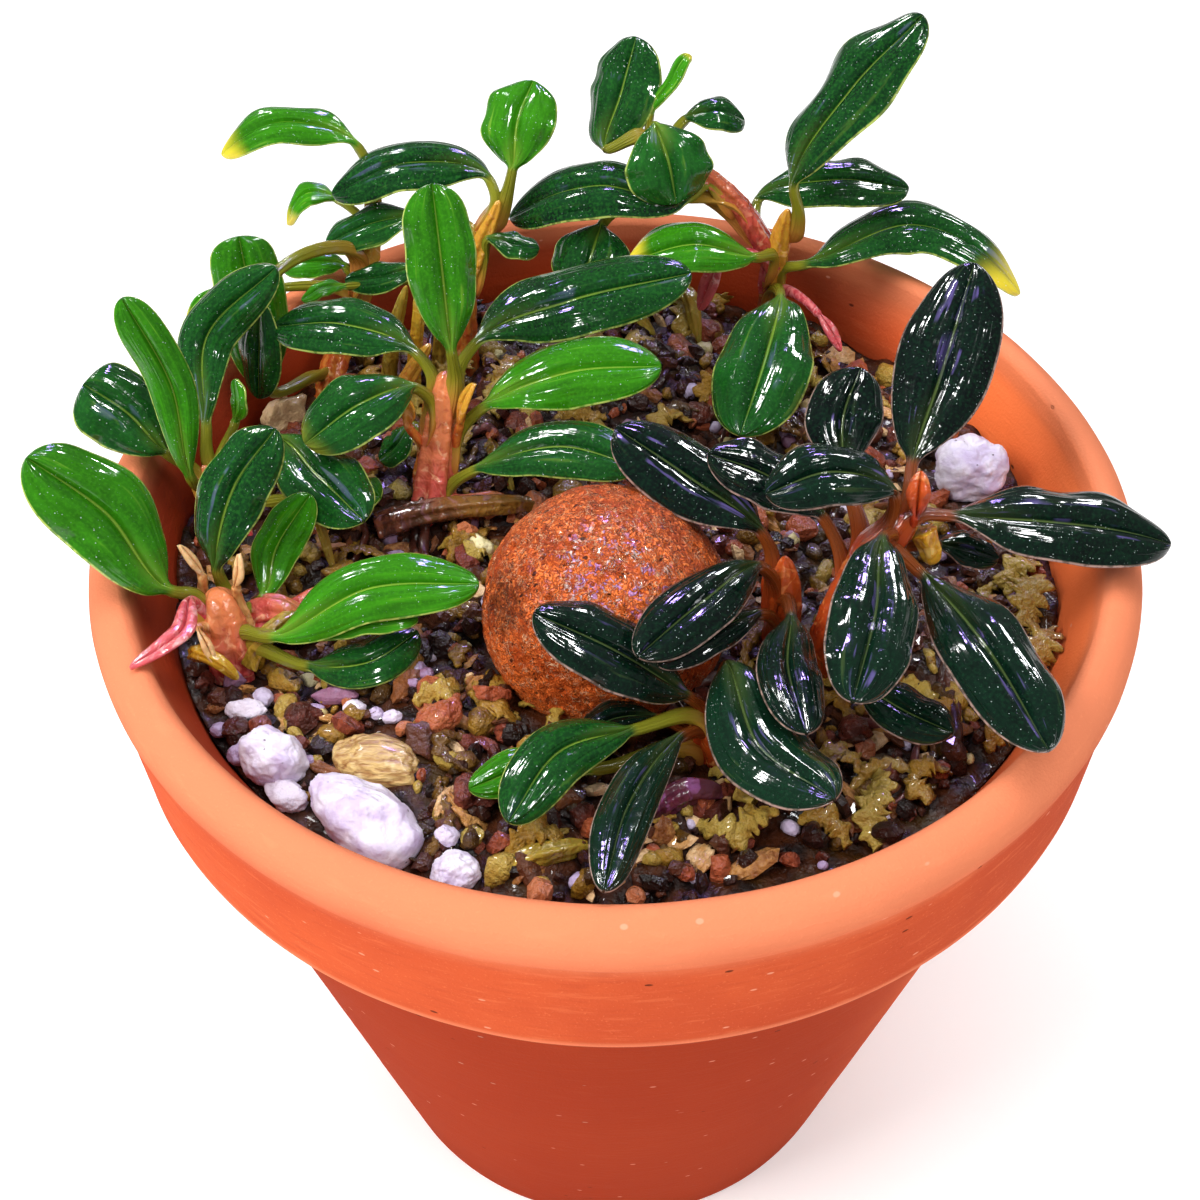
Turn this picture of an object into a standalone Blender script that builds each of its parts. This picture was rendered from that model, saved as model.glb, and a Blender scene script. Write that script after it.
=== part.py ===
"""Potted bucephalandra: a terracotta pot of wet substrate with a fired-clay ball, pumice stones,
and a clump of creeping plants whose leaves stand on short fleshy stems.

Lengths below are millimetres. The origin is the centre of the pot's foot, +Z is up and the
clump is seen from -Y.
"""

import math

import bmesh
import bpy
import numpy as np
from mathutils import Vector, noise

MM = 0.001
GAP = 0.3
WELD = 0.00005
OBJECT_NAME = "bucephalandra"

# Pot
POT_HEIGHT = 104.0
LIP_RADIUS = 55.0
LIP_ROUND = 3.6
LIP_ARC = (75, -8)
LIP_MOUTH_RADIUS = 50.5
LIP_MOUTH_DEPTH = 2.4
MOUTH_ROUND = 1.6
MOUTH_ARC = (155, 105)
BAND_DEPTH = 20.0
BAND_FOOT_RADIUS = 54.0
BAND_FOOT_CHAMFER = 0.8
BAND_STEP_FALL = 0.6
BODY_TOP_RADIUS = 50.6
FOOT_RADIUS = 34.4
FOOT_CHAMFER = 1.0
WALL_TOP_RADIUS = 48.0
WALL_TOP_DEPTH = 8.0
FLOOR_THICKNESS = 6.0
FLOOR_RADIUS = 30.4
DRAIN_RADIUS = 6.0
POT_SIDES = 40
POT_SHARP_ANGLE = 40

# Substrate: its lumps and crumbs are smooth noise, read on one level each
SOIL_LEVEL = 95.0
SOIL_CROWN = 0.6
SOIL_ROUGHNESS = 1.1
LUMP_SIZE = 11.0
LUMP_LEVEL = 3.0
CRUMB_SIZE = 4.95
CRUMB_LEVEL = 9.0
CRUMB_SHARE = 0.6
SOIL_RINGS = 9
SOIL_SIDES = 34

# Fired-clay ball, half sunk in the substrate
BALL_RADIUS = 12.6
BALL_CENTRE = (-1.0, -13.5, 100.0)
BALL_ROUGHNESS = 0.03
BALL_DETAIL = 3

# Pebbles: how finely their dents follow each other, and how rough and how finely faceted they are
DENT_SCALE = 1.7
DENT_SHIFT = 0.37
STONE_ROUGHNESS = 0.22
STONE_DETAIL = 2
STONE_SEAT_GAP = 1.3 * GAP

# Stem: a side shoot's share of the main radius, the crown's share of the foot radius, the seat's gap
SHOOT_SHARE = 0.85
CROWN_SHARE = 0.8
STEM_SEAT_GAP = 1.5 * GAP
STEM_STEPS_PER_SPAN = 2

# Leaf: petiole, and the blade's outline from base to tip
PETIOLE_RADIUS = 0.75
PETIOLE_TAPER = 0.95
PETIOLE_GAP = 1.3 * GAP
SMALL_LEAF_WIDTH = 4.0
SMALL_PETIOLE_SHARE = 0.8
LEAF_WIDEST_AT = 0.52
LEAF_BASE_POWER = 0.85
LEAF_TIP_POWER = 2.3
LEAF_TIP_ROUND = 0.62
BLADE_STATIONS = (0.13, 0.32, 0.52, 0.72, 0.88, 0.965)
ROLL_SHARE = 0.25
SLOPE_STEP = 0.01

# Leaf section: thickness, hump of each half per half width, depth of the midrib's groove
LEAF_THICKNESS = 0.7
HUMP_SHARE = 0.07
GROOVE_SHARE = 0.15
RING_ANGLES = (180, 122, 90, 58, 0, -90)

# Stones that lie on the substrate: name, centre, half sizes, turn in degrees, material
STONES = (
    ("pumice_front", (-24.0, -37.0, 96.8), (6.6, 3.7, 3.4), -38, "pumice"),
    ("pumice_left", (-33.0, -30.0, 96.6), (3.6, 2.9, 3.2), -30, "pumice"),
    ("pumice_low", (-14.5, -43.0, 96.2), (2.4, 2.1, 2.0), 0, "pumice"),
    ("pumice_right", (39.8, 9.8, 98.0), (4.2, 3.9, 3.9), 0, "pumice"),
    ("bark_chip", (-22.5, -30.5, 96.6), (4.6, 2.6, 1.9), -20, "bark"),
)

# Stems: radius at the foot, material, and one or more runs of points from foot to crown.
# A second run is a side shoot that starts inside the first.
STEMS = {
    "stem_west": (3.0, "pink_stem", (
        ((-39.3, -15.8, 93.0), (-39.2, -15.4, 97.0), (-39.8, -14.2, 100.3), (-40.5, -13.0, 102.5)),
    )),
    "stem_west_back": (1.8, "pink_stem", (
        ((-40.0, 1.0, 93.0), (-43.0, 4.0, 98.0), (-45.0, 6.0, 102.0)),
    )),
    "stem_back_left": (1.7, "orange_stem", (
        ((-35.0, 24.0, 93.0), (-34.0, 28.0, 97.5), (-30.8, 35.5, 103.5), (-28.5, 43.6, 112.6)),
    )),
    "stem_back": (1.8, "orange_stem", (
        ((-19.0, 33.0, 93.0), (-18.0, 35.0, 105.0), (-13.5, 37.0, 115.5)),
    )),
    "stem_middle": (2.5, "pink_stem", (
        ((-21.0, 4.5, 93.0), (-20.0, 7.5, 99.0), (-19.0, 11.0, 105.0), (-18.5, 13.0, 109.5)),
        ((-20.5, 6.0, 96.0), (-17.0, 5.0, 96.2), (-12.0, 6.5, 96.6)),
    )),
    "stem_north": (1.7, "orange_stem", (
        ((19.0, 38.0, 93.0), (19.3, 38.0, 102.0), (19.6, 37.0, 110.0), (20.0, 36.0, 115.0)),
        ((19.4, 37.6, 106.0), (14.0, 39.0, 114.0), (9.0, 40.0, 118.0), (3.8, 41.5, 121.0)),
    )),
    "stem_east": (2.2, "red_stem", (
        ((22.0, -16.0, 93.0), (21.2, -18.5, 101.0), (24.0, -15.0, 108.0), (28.0, -12.5, 112.0)),
    )),
    "stem_east_second": (2.1, "red_stem", (
        ((17.0, -14.0, 93.0), (17.0, -14.8, 101.0), (16.8, -12.5, 106.5)),
    )),
    "stem_east_front": (2.0, "red_stem", (
        ((10.5, -29.0, 93.0), (9.0, -27.5, 97.5), (9.2, -26.0, 100.5)),
    )),
}

# Leaves of each stem: name, run, height up the run from 0 to 1, where the blade starts, its tip, how
# far its midrib arches up and bows to its right, width, roll in degrees, material
LEAVES = {
    "stem_west": (
        ("leaf_west_1", 0, 1.00, (-43.8, -15, 104), (-55.5, -11.5, 118.5), 1, 1, 9.5, 20, "green_leaf"),
        ("leaf_west_5", 0, 0.85, (-39.5, -10, 103), (-34, -2, 114), 1, -1.5, 7.3, -15, "dark_leaf"),
        ("leaf_west_6", 0, 0.60, (-36.5, -11.5, 99), (-31.5, -3, 106), -1, -1.5, 5.2, -15, "green_leaf"),
        ("leaf_west_8", 0, 0.60, (-34.5, -18, 100.5), (-13.5, -14.5, 104.5), 2.2, -1, 7.2, -20, "green_leaf"),
        ("leaf_west_9", 0, 0.45, (-31, -19.5, 98), (-20, -15.5, 98.5), 0, 2, 5.5, -15, "dark_leaf"),
    ),
    "stem_west_back": (
        ("leaf_west_2", 0, 1.00, (-48, 4.5, 105), (-56, 7.5, 112), 0.5, 0.5, 9, 20, "dark_leaf"),
        ("leaf_west_3", 0, 0.75, (-45, 1.5, 104), (-50, 9, 122), 0, 1.5, 4.8, 15, "green_leaf"),
        ("leaf_west_4", 0, 1.00, (-44.5, 8.5, 105), (-36.5, 20, 118), -1, -5.5, 6.5, -15, "dark_leaf"),
        ("leaf_west_7", 0, 0.85, (-37, 7.5, 104.5), (-26, -5, 104), 0.5, 0, 8.2, -15, "dark_leaf"),
    ),
    "stem_back_left": (
        ("leaf_back_1", 0, 0.20, (-40, 20, 101), (-42, 27.5, 117), 0.5, 0, 7.8, 0, "green_leaf"),
        ("leaf_back_2", 0, 1.00, (-30.5, 45.4, 117.2), (-46.8, 45, 118), 2.6, 1, 6, 20, "green_leaf"),
    ),
    "stem_back": (
        ("leaf_back_3", 0, 1.00, (-14.5, 39, 116.5), (-33.5, 40.5, 114), 2.5, 1.5, 8, 18, "dark_leaf"),
        ("leaf_back_4", 0, 0.80, (-23, 39, 112), (-34.5, 37.5, 109), 1, 0, 6.2, 18, "dark_leaf"),
        ("leaf_back_5", 0, 1.00, (-12, 39, 118), (-9.5, 47, 125), 1, -0.5, 9, 0, "green_leaf"),
    ),
    "stem_middle": (
        ("leaf_middle_1", 0, 1.00, (-17.5, 12, 112.5), (-19, 20.5, 128), 1, 0, 7.4, 0, "green_leaf"),
        ("leaf_middle_2", 0, 0.95, (-21.5, 14.5, 110.5), (-38, 20, 110), 1.8, 0.5, 7.6, 18, "dark_leaf"),
        ("leaf_middle_3", 0, 0.85, (-21.5, 10, 109.5), (-32.5, 2.5, 108), 2, -0.5, 8.2, 18, "dark_leaf"),
        ("leaf_middle_4", 0, 1.00, (-15.5, 14.5, 111.5), (8.5, 24.5, 114), -1.5, -4, 9.4, -20, "dark_leaf"),
        ("leaf_middle_5", 0, 0.60, (-14.5, 9.5, 107), (5, 13, 110), 0.5, -2, 8.6, -20, "green_leaf"),
        ("leaf_middle_6", 0, 0.30, (-15.5, 5, 102), (2.5, 0, 107), 1.5, -2, 7.2, -20, "dark_leaf"),
    ),
    "stem_north": (
        ("leaf_north_1", 1, 1.00, (-1, 42.5, 119), (2.5, 49, 129.5), 0, 0, 9.4, 10, "dark_leaf"),
        ("leaf_north_2", 1, 0.97, (4.5, 40.5, 123), (7, 35.5, 116), 1.5, 0, 10.4, -10, "dark_leaf"),
        ("leaf_north_3", 1, 0.60, (9, 38, 115.5), (-12.5, 40, 112.5), 3, -1.5, 8.6, 18, "dark_leaf"),
        ("leaf_north_4", 1, 0.40, (-1.5, 37.5, 112), (-4, 31, 107), 0.5, 0, 10, 0, "dark_leaf"),
        ("leaf_north_5", 0, 0.70, (16.5, 33.5, 110), (1.5, 32.5, 110), 2.4, -0.5, 7.4, 20, "green_leaf"),
        ("leaf_north_6", 0, 1.00, (20.5, 36, 117.5), (34, 43, 135), 1, -1.5, 10, -5, "dark_leaf"),
        ("leaf_north_7", 1, 0.20, (17, 42.5, 111.5), (35, 42.5, 113.5), 2.5, 0.5, 7.4, -18, "dark_leaf"),
        ("leaf_north_8", 0, 0.60, (22, 35.5, 107.5), (48.5, 34.5, 108), 2, -5.5, 8, -15, "dark_leaf"),
        ("leaf_north_9", 0, 0.45, (19.5, 31.5, 106), (14, 12, 101), 1, -0.5, 11, 0, "dark_leaf"),
    ),
    "stem_east": (
        ("leaf_east_1", 0, 1.00, (29, -7.5, 113.5), (36.5, 12, 124), -1, 0, 9.8, 0, "black_leaf"),
        ("leaf_east_2", 0, 0.75, (23, -5, 111), (25, 4.5, 116.5), 0, -1, 7.8, 0, "black_leaf"),
        ("leaf_east_3", 0, 1.00, (26.5, -13, 115), (14, -15, 117), 2.5, 0.5, 7, 18, "black_leaf"),
        ("leaf_east_4", 0, 0.65, (20.5, -11, 110), (9, -7, 115), 0.5, 1, 6.6, 18, "black_leaf"),
        ("leaf_east_9", 0, 0.95, (25.5, -16, 112.5), (20.5, -36, 112), 0.5, -0.5, 8.2, 10, "black_leaf"),
        ("leaf_east_10", 0, 1.00, (32, -12, 111.5), (55, -11.5, 108), 0, -0.5, 8.8, -15, "black_leaf"),
        ("leaf_east_11", 0, 0.85, (29, -17, 109), (37.5, -39, 109), 1, -0.5, 8.4, -10, "black_leaf"),
    ),
    "stem_east_second": (
        ("leaf_east_5", 0, 1.00, (14.5, -11.5, 108.5), (0, -2, 114), 0.5, 0, 8.4, 15, "black_leaf"),
        ("leaf_east_6", 0, 0.85, (14, -15.5, 108), (2, -29, 110), 1, 0, 6.6, 10, "black_leaf"),
        ("leaf_east_8", 0, 0.75, (17, -19, 105), (17, -35.5, 107), 0.5, 1, 6, 0, "black_leaf"),
    ),
    "stem_east_front": (
        ("leaf_east_7", 0, 1.00, (7, -27, 102), (-7.5, -25.5, 112), 1.5, -0.5, 7.8, 15, "black_leaf"),
        ("leaf_east_12", 0, 0.95, (10.5, -24.5, 103.5), (19, -42, 106), -1, 2, 8.4, -10, "black_leaf"),
        ("leaf_east_13", 0, 0.70, (6.5, -30, 100), (-1, -51, 105.5), 0.5, 1.5, 5, 10, "black_leaf"),
        ("leaf_east_14", 0, 0.85, (2, -30.5, 101.5), (-9.5, -41.5, 102), 1.5, 2, 6.2, 15, "dark_leaf"),
    ),
}

# Small leaves and buds fused to the stem they grow from: run, height up the run, where the blade
# starts, its tip, how far its midrib arches up and bows to its right, width, roll in degrees
BUDS = {
    "stem_west": (
        (0, 0.90, (-42.3, -15.6, 103.8), (-46, -23.3, 105.4), 0.6, 0.5, 3.0, 0),
    ),
    "stem_west_back": (
        (0, 0.45, (-33, 5, 98.2), (-25.5, 3, 100), 0, -0.5, 5.5, -15),
    ),
    "stem_back_left": (
        (0, 0.55, (-44, 31, 107), (-50, 27.5, 107), 0.5, 0.5, 2, 0),
        (0, 0.85, (-33.5, 43.3, 111.5), (-39.7, 42.5, 110.5), 1.5, 0.5, 3.8, 18),
        (0, 0.60, (-32.5, 37.5, 105.8), (-40.2, 37.2, 106), 0.8, 0, 4.4, 18),
    ),
    "stem_back": (
        (0, 0.60, (-23, 34.5, 108), (-32, 33, 107), 0, -0.5, 4.6, 15),
        (0, 0.70, (-15, 35, 111.5), (-9, 35, 110), 0, 0, 4, -15),
    ),
    "stem_middle": (
        (0, 0.50, (-22.5, 12, 102.5), (-26.5, 11, 98.5), 0, -0.5, 4.2, 15),
    ),
    "stem_north": (
        (1, 1.00, (4, 43, 123), (8.5, 45, 131), 0, 0.5, 2.6, 0),
        (1, 0.90, (8, 43.5, 122), (15, 45, 121), 1.5, 0.5, 5.4, -15),
    ),
    "stem_east": (
        (0, 0.35, (23.5, -24, 101), (31.5, -31, 101.5), 0, 0.5, 5.4, -15),
        (0, 0.75, (32, -11, 106.5), (38.5, -11, 104.5), 0, -0.5, 4.2, -15),
    ),
    "stem_east_second": (
        (0, 0.50, (14, -19, 105), (4, -27, 106.5), 1, 0, 4.6, 10),
    ),
    "stem_east_front": (
        (0, 0.50, (4, -27.3, 99.3), (-3, -30, 100.5), 0.5, 0.5, 4, 15),
        (0, 0.40, (-2, -32.5, 98), (-13.5, -36, 99.5), 0.5, 1, 4.6, 15),
    ),
}

# Base colour, roughness and metallic value of each finish
FINISHES = {
    "terracotta": ((0.72, 0.24, 0.11), 0.85, 0.0),
    "substrate": ((0.09, 0.05, 0.03), 0.55, 0.0),
    "fired_clay": ((0.42, 0.13, 0.05), 0.6, 0.0),
    "pumice": ((0.72, 0.68, 0.8), 0.9, 0.0),
    "bark": ((0.6, 0.42, 0.22), 0.7, 0.0),
    "pink_stem": ((0.62, 0.22, 0.16), 0.3, 0.0),
    "orange_stem": ((0.65, 0.26, 0.08), 0.3, 0.0),
    "red_stem": ((0.5, 0.08, 0.03), 0.3, 0.0),
    "green_leaf": ((0.05, 0.28, 0.02), 0.22, 0.0),
    "dark_leaf": ((0.01, 0.09, 0.02), 0.2, 0.0),
    "black_leaf": ((0.006, 0.022, 0.014), 0.18, 0.0),
}


def unit(vector):
    return vector / np.linalg.norm(vector)


def arc(centre, radius, start, end, steps):
    """Points of a circular arc in the radius-height plane, angles in degrees."""
    turns = np.radians(np.linspace(start, end, steps + 1))
    return [(centre[0] + radius * math.cos(a), centre[1] + radius * math.sin(a)) for a in turns]


def path_lengths(points):
    """Distance from the first point to each point, along the straight lines between them."""
    return np.concatenate(([0.0], np.cumsum(np.linalg.norm(np.diff(points, axis=0), axis=1))))


def smooth_run(points, per_span):
    """A curve through the points: cubic spans whose slopes come from the neighbours' spacing."""
    points = np.array(points, float)
    knots = path_lengths(points)
    slopes = np.gradient(points, knots, axis=0)
    where = np.concatenate([
        np.linspace(a, b, per_span, endpoint=False) for a, b in zip(knots[:-1], knots[1:])
    ] + [knots[-1:]])
    return curve_at(points, knots, slopes, where)


def curve_at(points, knots, slopes, where):
    """Cubic Hermite curve at the given distances along its knots."""
    span = np.clip(np.searchsorted(knots, where, side="right") - 1, 0, len(knots) - 2)
    width = knots[span + 1] - knots[span]
    u = ((where - knots[span]) / width)[:, None]
    width = width[:, None]
    return (
        (1 + 2 * u) * (1 - u) ** 2 * points[span]
        + u * (1 - u) ** 2 * width * slopes[span]
        + u ** 2 * (3 - 2 * u) * points[span + 1]
        + u ** 2 * (u - 1) * width * slopes[span + 1]
    )


def finish(name):
    """The finish's Principled material, made once."""
    if name in bpy.data.materials:
        return bpy.data.materials[name]
    colour, roughness, metallic = FINISHES[name]
    material = bpy.data.materials.new(name)
    material.use_nodes = True
    shader = material.node_tree.nodes["Principled BSDF"]
    shader.inputs["Base Color"].default_value = (*colour, 1.0)
    shader.inputs["Roughness"].default_value = roughness
    shader.inputs["Metallic"].default_value = metallic
    return material


def new_collection(name):
    collection = bpy.data.collections.new(name)
    bpy.context.scene.collection.children.link(collection)
    return collection


def mesh_object(name, mesh, collection, material=None):
    obj = bpy.data.objects.new(name, mesh)
    collection.objects.link(obj)
    if material:
        mesh.materials.clear()
        mesh.materials.append(finish(material))
    return obj


def evaluated_copy(obj):
    """The object's mesh with its modifiers applied and its loose caps welded."""
    graph = bpy.context.evaluated_depsgraph_get()
    mesh = bpy.data.meshes.new_from_object(obj.evaluated_get(graph))
    work = bmesh.new()
    work.from_mesh(mesh)
    bmesh.ops.remove_doubles(work, verts=work.verts, dist=WELD)
    bmesh.ops.recalc_face_normals(work, faces=work.faces)
    work.to_mesh(mesh)
    work.free()
    return mesh


def turned_mesh(name, profile, sides, collection):
    """The profile, outer side first and top to bottom, turned about Z and made a mesh."""
    mesh = bpy.data.meshes.new(name + "_profile")
    rows = [(r * MM, 0.0, z * MM) for r, z in profile]
    closed = profile[0][0] > 0.0
    edges = [(i, i + 1) for i in range(len(rows) - 1)]
    if closed:
        edges.append((len(rows) - 1, 0))
    mesh.from_pydata(rows, edges, [])
    guide = mesh_object(name + "_profile", mesh, collection)
    screw = guide.modifiers.new("turn", "SCREW")
    screw.steps = sides
    screw.render_steps = sides
    screw.use_merge_vertices = True
    screw.merge_threshold = WELD
    turned = evaluated_copy(guide)
    bpy.data.objects.remove(guide)
    return turned


def hide_cutter(obj):
    obj.hide_render = True
    obj.display_type = "WIRE"


def boolean(obj, operation, other):
    modifier = obj.modifiers.new(operation.lower() + "_" + other.name, "BOOLEAN")
    modifier.operation = operation
    modifier.solver = "EXACT"
    modifier.object = other


def wall_radius(height):
    """Radius of the pot's inner wall, which tapers evenly from floor to mouth."""
    wall_height = POT_HEIGHT - WALL_TOP_DEPTH - FLOOR_THICKNESS
    flare = (WALL_TOP_RADIUS - FLOOR_RADIUS) / wall_height
    return FLOOR_RADIUS + flare * (height - FLOOR_THICKNESS)


def pot_profile():
    """The pot's section, as (radius, height): outer side down, floor, inner side up."""
    band_foot = POT_HEIGHT - BAND_DEPTH
    outer = arc((LIP_RADIUS - LIP_ROUND, POT_HEIGHT - LIP_ROUND), LIP_ROUND, *LIP_ARC, 4)
    outer += [
        (BAND_FOOT_RADIUS, band_foot + BAND_FOOT_CHAMFER),
        (BAND_FOOT_RADIUS - BAND_FOOT_CHAMFER, band_foot),
        (BODY_TOP_RADIUS, band_foot - BAND_STEP_FALL),
        (FOOT_RADIUS, FOOT_CHAMFER),
        (FOOT_RADIUS - FOOT_CHAMFER, 0.0),
    ]
    hole = [(DRAIN_RADIUS, 0.0), (DRAIN_RADIUS, FLOOR_THICKNESS)]
    inner = [
        (FLOOR_RADIUS, FLOOR_THICKNESS),
        (WALL_TOP_RADIUS, POT_HEIGHT - WALL_TOP_DEPTH),
        (LIP_MOUTH_RADIUS, POT_HEIGHT - LIP_MOUTH_DEPTH),
    ]
    mouth = arc((LIP_MOUTH_RADIUS + MOUTH_ROUND, POT_HEIGHT - MOUTH_ROUND), MOUTH_ROUND, *MOUTH_ARC, 1)
    return outer + hole + inner + mouth


def make_pot(parts):
    mesh = turned_mesh("pot", pot_profile(), POT_SIDES, parts)
    pot = mesh_object("pot", mesh, parts, "terracotta")
    pot.data.set_sharp_from_angle(angle=math.radians(POT_SHARP_ANGLE))


def soil_height(x, y):
    """Height of the substrate: level, a little higher in the middle, broken into rounded lumps."""
    reach = math.hypot(x, y) / WALL_TOP_RADIUS
    lumps = noise.noise(Vector((x, y, LUMP_LEVEL)) / LUMP_SIZE)
    crumbs = noise.noise(Vector((x, y, CRUMB_LEVEL)) / CRUMB_SIZE)
    return SOIL_LEVEL + SOIL_CROWN * (1 - reach ** 2) + SOIL_ROUGHNESS * (lumps + CRUMB_SHARE * crumbs)


def make_substrate(parts):
    """A turned plug that fills the pot, its top pushed into lumps."""
    edge = wall_radius(SOIL_LEVEL) - GAP
    top = [(edge * i / SOIL_RINGS, SOIL_LEVEL) for i in range(SOIL_RINGS + 1)]
    foot = FLOOR_THICKNESS + GAP
    profile = top + [(wall_radius(foot) - GAP, foot), (0.0, foot)]
    mesh = turned_mesh("substrate", profile, SOIL_SIDES, parts)
    half_way = 0.5 * SOIL_LEVEL * MM
    for vertex in mesh.vertices:
        if vertex.co.z > half_way:
            vertex.co.z = soil_height(vertex.co.x / MM, vertex.co.y / MM) * MM
    return mesh_object("substrate", mesh, parts, "substrate")


def pebble(name, centre, half_sizes, turn, detail, roughness, collection):
    """An icosphere stretched to its half sizes, pushed in and out by smooth noise, turned about Z."""
    work = bmesh.new()
    bmesh.ops.create_icosphere(work, subdivisions=detail, radius=1.0)
    offset = Vector(centre) * DENT_SHIFT
    for vert in work.verts:
        push = 1.0 + roughness * noise.noise(vert.co * DENT_SCALE + offset)
        vert.co = Vector([push * vert.co[k] * half_sizes[k] * MM for k in range(3)])
    mesh = bpy.data.meshes.new(name)
    work.to_mesh(mesh)
    work.free()
    mesh.shade_smooth()
    obj = mesh_object(name, mesh, collection)
    obj.location = Vector(centre) * MM
    obj.rotation_euler.z = math.radians(turn)
    return obj


def sink(obj, substrate, cutters, growth):
    """Cuts a seat for the piece in the substrate, from a copy grown by the gap."""
    seat = mesh_object(obj.name + "_seat", obj.data.copy(), cutters)
    seat.location = obj.location
    seat.rotation_euler = obj.rotation_euler
    seat.scale = growth
    hide_cutter(seat)
    boolean(substrate, "DIFFERENCE", seat)


def make_ball(parts, substrate, cutters):
    half_sizes = (BALL_RADIUS, BALL_RADIUS, BALL_RADIUS)
    ball = pebble("clay_ball", BALL_CENTRE, half_sizes, 0, BALL_DETAIL, BALL_ROUGHNESS, parts)
    ball.data.materials.append(finish("fired_clay"))
    sink(ball, substrate, cutters, [(size + GAP) / size for size in half_sizes])


def make_stones(parts, substrate, cutters):
    for name, centre, half_sizes, turn, material in STONES:
        stone = pebble(name, centre, half_sizes, turn, STONE_DETAIL, STONE_ROUGHNESS, parts)
        stone.data.materials.append(finish(material))
        sink(stone, substrate, cutters, [(size + STONE_SEAT_GAP) / size for size in half_sizes])


def stem_tube(name, points, foot_radius, crown_share, collection, grow=0.0):
    """A tapered tube along the run, made as a curve with a round bevel and turned into a mesh."""
    path = smooth_run(points, STEM_STEPS_PER_SPAN)
    curve = bpy.data.curves.new(name + "_run", "CURVE")
    curve.dimensions = "3D"
    curve.bevel_depth = MM
    curve.bevel_resolution = 1
    curve.use_fill_caps = True
    spline = curve.splines.new("POLY")
    spline.points.add(len(path) - 1)
    for i, (point, place) in enumerate(zip(spline.points, path)):
        along = i / (len(path) - 1)
        point.co = (*(place * MM), 1.0)
        point.radius = foot_radius * (1 + (crown_share - 1) * along) + grow
    guide = bpy.data.objects.new(name + "_run", curve)
    collection.objects.link(guide)
    mesh = evaluated_copy(guide)
    bpy.data.objects.remove(guide)
    return mesh_object(name, mesh, collection)


def blade_width(v):
    """Share of the full width at share v of the blade: a wedge below, a round end above."""
    below = math.sin(0.5 * math.pi * min(v / LEAF_WIDEST_AT, 1.0)) ** LEAF_BASE_POWER
    past = max((v - LEAF_WIDEST_AT) / (1 - LEAF_WIDEST_AT), 0.0)
    return below * (1 - past ** LEAF_TIP_POWER) ** LEAF_TIP_ROUND


def ring_round(radius):
    return np.array([
        (radius * math.cos(math.radians(a)), radius * math.sin(math.radians(a))) for a in RING_ANGLES
    ])


def ring_blade(half_width, thickness):
    """Two humped halves with a groove between them, and a keel below, as (sideways, up) pairs."""
    hump = 0.5 * thickness + HUMP_SHARE * half_width
    groove = GROOVE_SHARE * thickness
    keel = 0.5 * thickness
    return np.array([
        (-half_width, 0.0), (-0.5 * half_width, hump), (0.0, groove),
        (0.5 * half_width, hump), (half_width, 0.0), (0.0, -keel),
    ])


def leaf_midrib(start, base, tip, arch, bow):
    """Points of the leaf's curve: where it leaves the stem, blade base, crest and tip."""
    along = tip - base
    right = unit(np.array((along[1], -along[0], 0.0)))
    crest = 0.5 * (base + tip) + arch * np.array((0.0, 0.0, 1.0)) + bow * right
    return np.array((start, base, crest, tip)), right


def closed_loft(name, rings, last_point):
    """Rings of equal count joined row by row, with a flat cap at the start and a point at the end."""
    count = len(RING_ANGLES)
    verts = np.concatenate(rings + [last_point[None]])
    faces = [tuple(range(count))]
    for row in range(len(rings) - 1):
        for k in range(count):
            a = row * count + k
            b = row * count + (k + 1) % count
            faces.append((a, a + count, b + count, b))
    last = (len(rings) - 1) * count
    faces += [(last + k, last + count, last + (k + 1) % count) for k in range(count)]
    mesh = bpy.data.meshes.new(name)
    mesh.from_pydata([tuple(v * MM) for v in verts], [], faces)
    work = bmesh.new()
    work.from_mesh(mesh)
    bmesh.ops.recalc_face_normals(work, faces=work.faces)
    work.to_mesh(mesh)
    work.free()
    mesh.shade_smooth()
    return mesh


def leaf_mesh(name, start, base, tip, arch, bow, width, roll):
    """Closed loft from a round petiole through the flat blade's stations to a point at the tip."""
    points, right = leaf_midrib(start, base, tip, arch, bow)
    knots = path_lengths(points)
    slopes = np.gradient(points, knots, axis=0)
    blade_start = knots[1]
    blade = knots[-1] - blade_start
    radius = PETIOLE_RADIUS * (1.0 if width > SMALL_LEAF_WIDTH else SMALL_PETIOLE_SHARE)
    stations = [(0.0, ring_round(radius)), (blade_start, ring_round(PETIOLE_TAPER * radius))]
    for v in BLADE_STATIONS:
        stations.append((blade_start + v * blade, ring_blade(0.5 * width * blade_width(v), LEAF_THICKNESS)))
    step = SLOPE_STEP * blade
    rings = []
    for where, ring in stations:
        around = np.array((where, min(where + step, knots[-1]), max(where - step, 0.0)))
        here, ahead, behind = curve_at(points, knots, slopes, around)
        forward = unit(ahead - behind)
        side = unit(right - forward * right.dot(forward))
        up = np.cross(side, forward)
        share = max((where - blade_start) / blade, 0.0)
        turn = math.radians(roll) * min(share / ROLL_SHARE, 1.0)
        across = side * math.cos(turn) + up * math.sin(turn)
        out = up * math.cos(turn) - side * math.sin(turn)
        rings.append(here + ring[:, :1] * across + ring[:, 1:] * out)
    return closed_loft(name, rings, points[-1])


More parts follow.
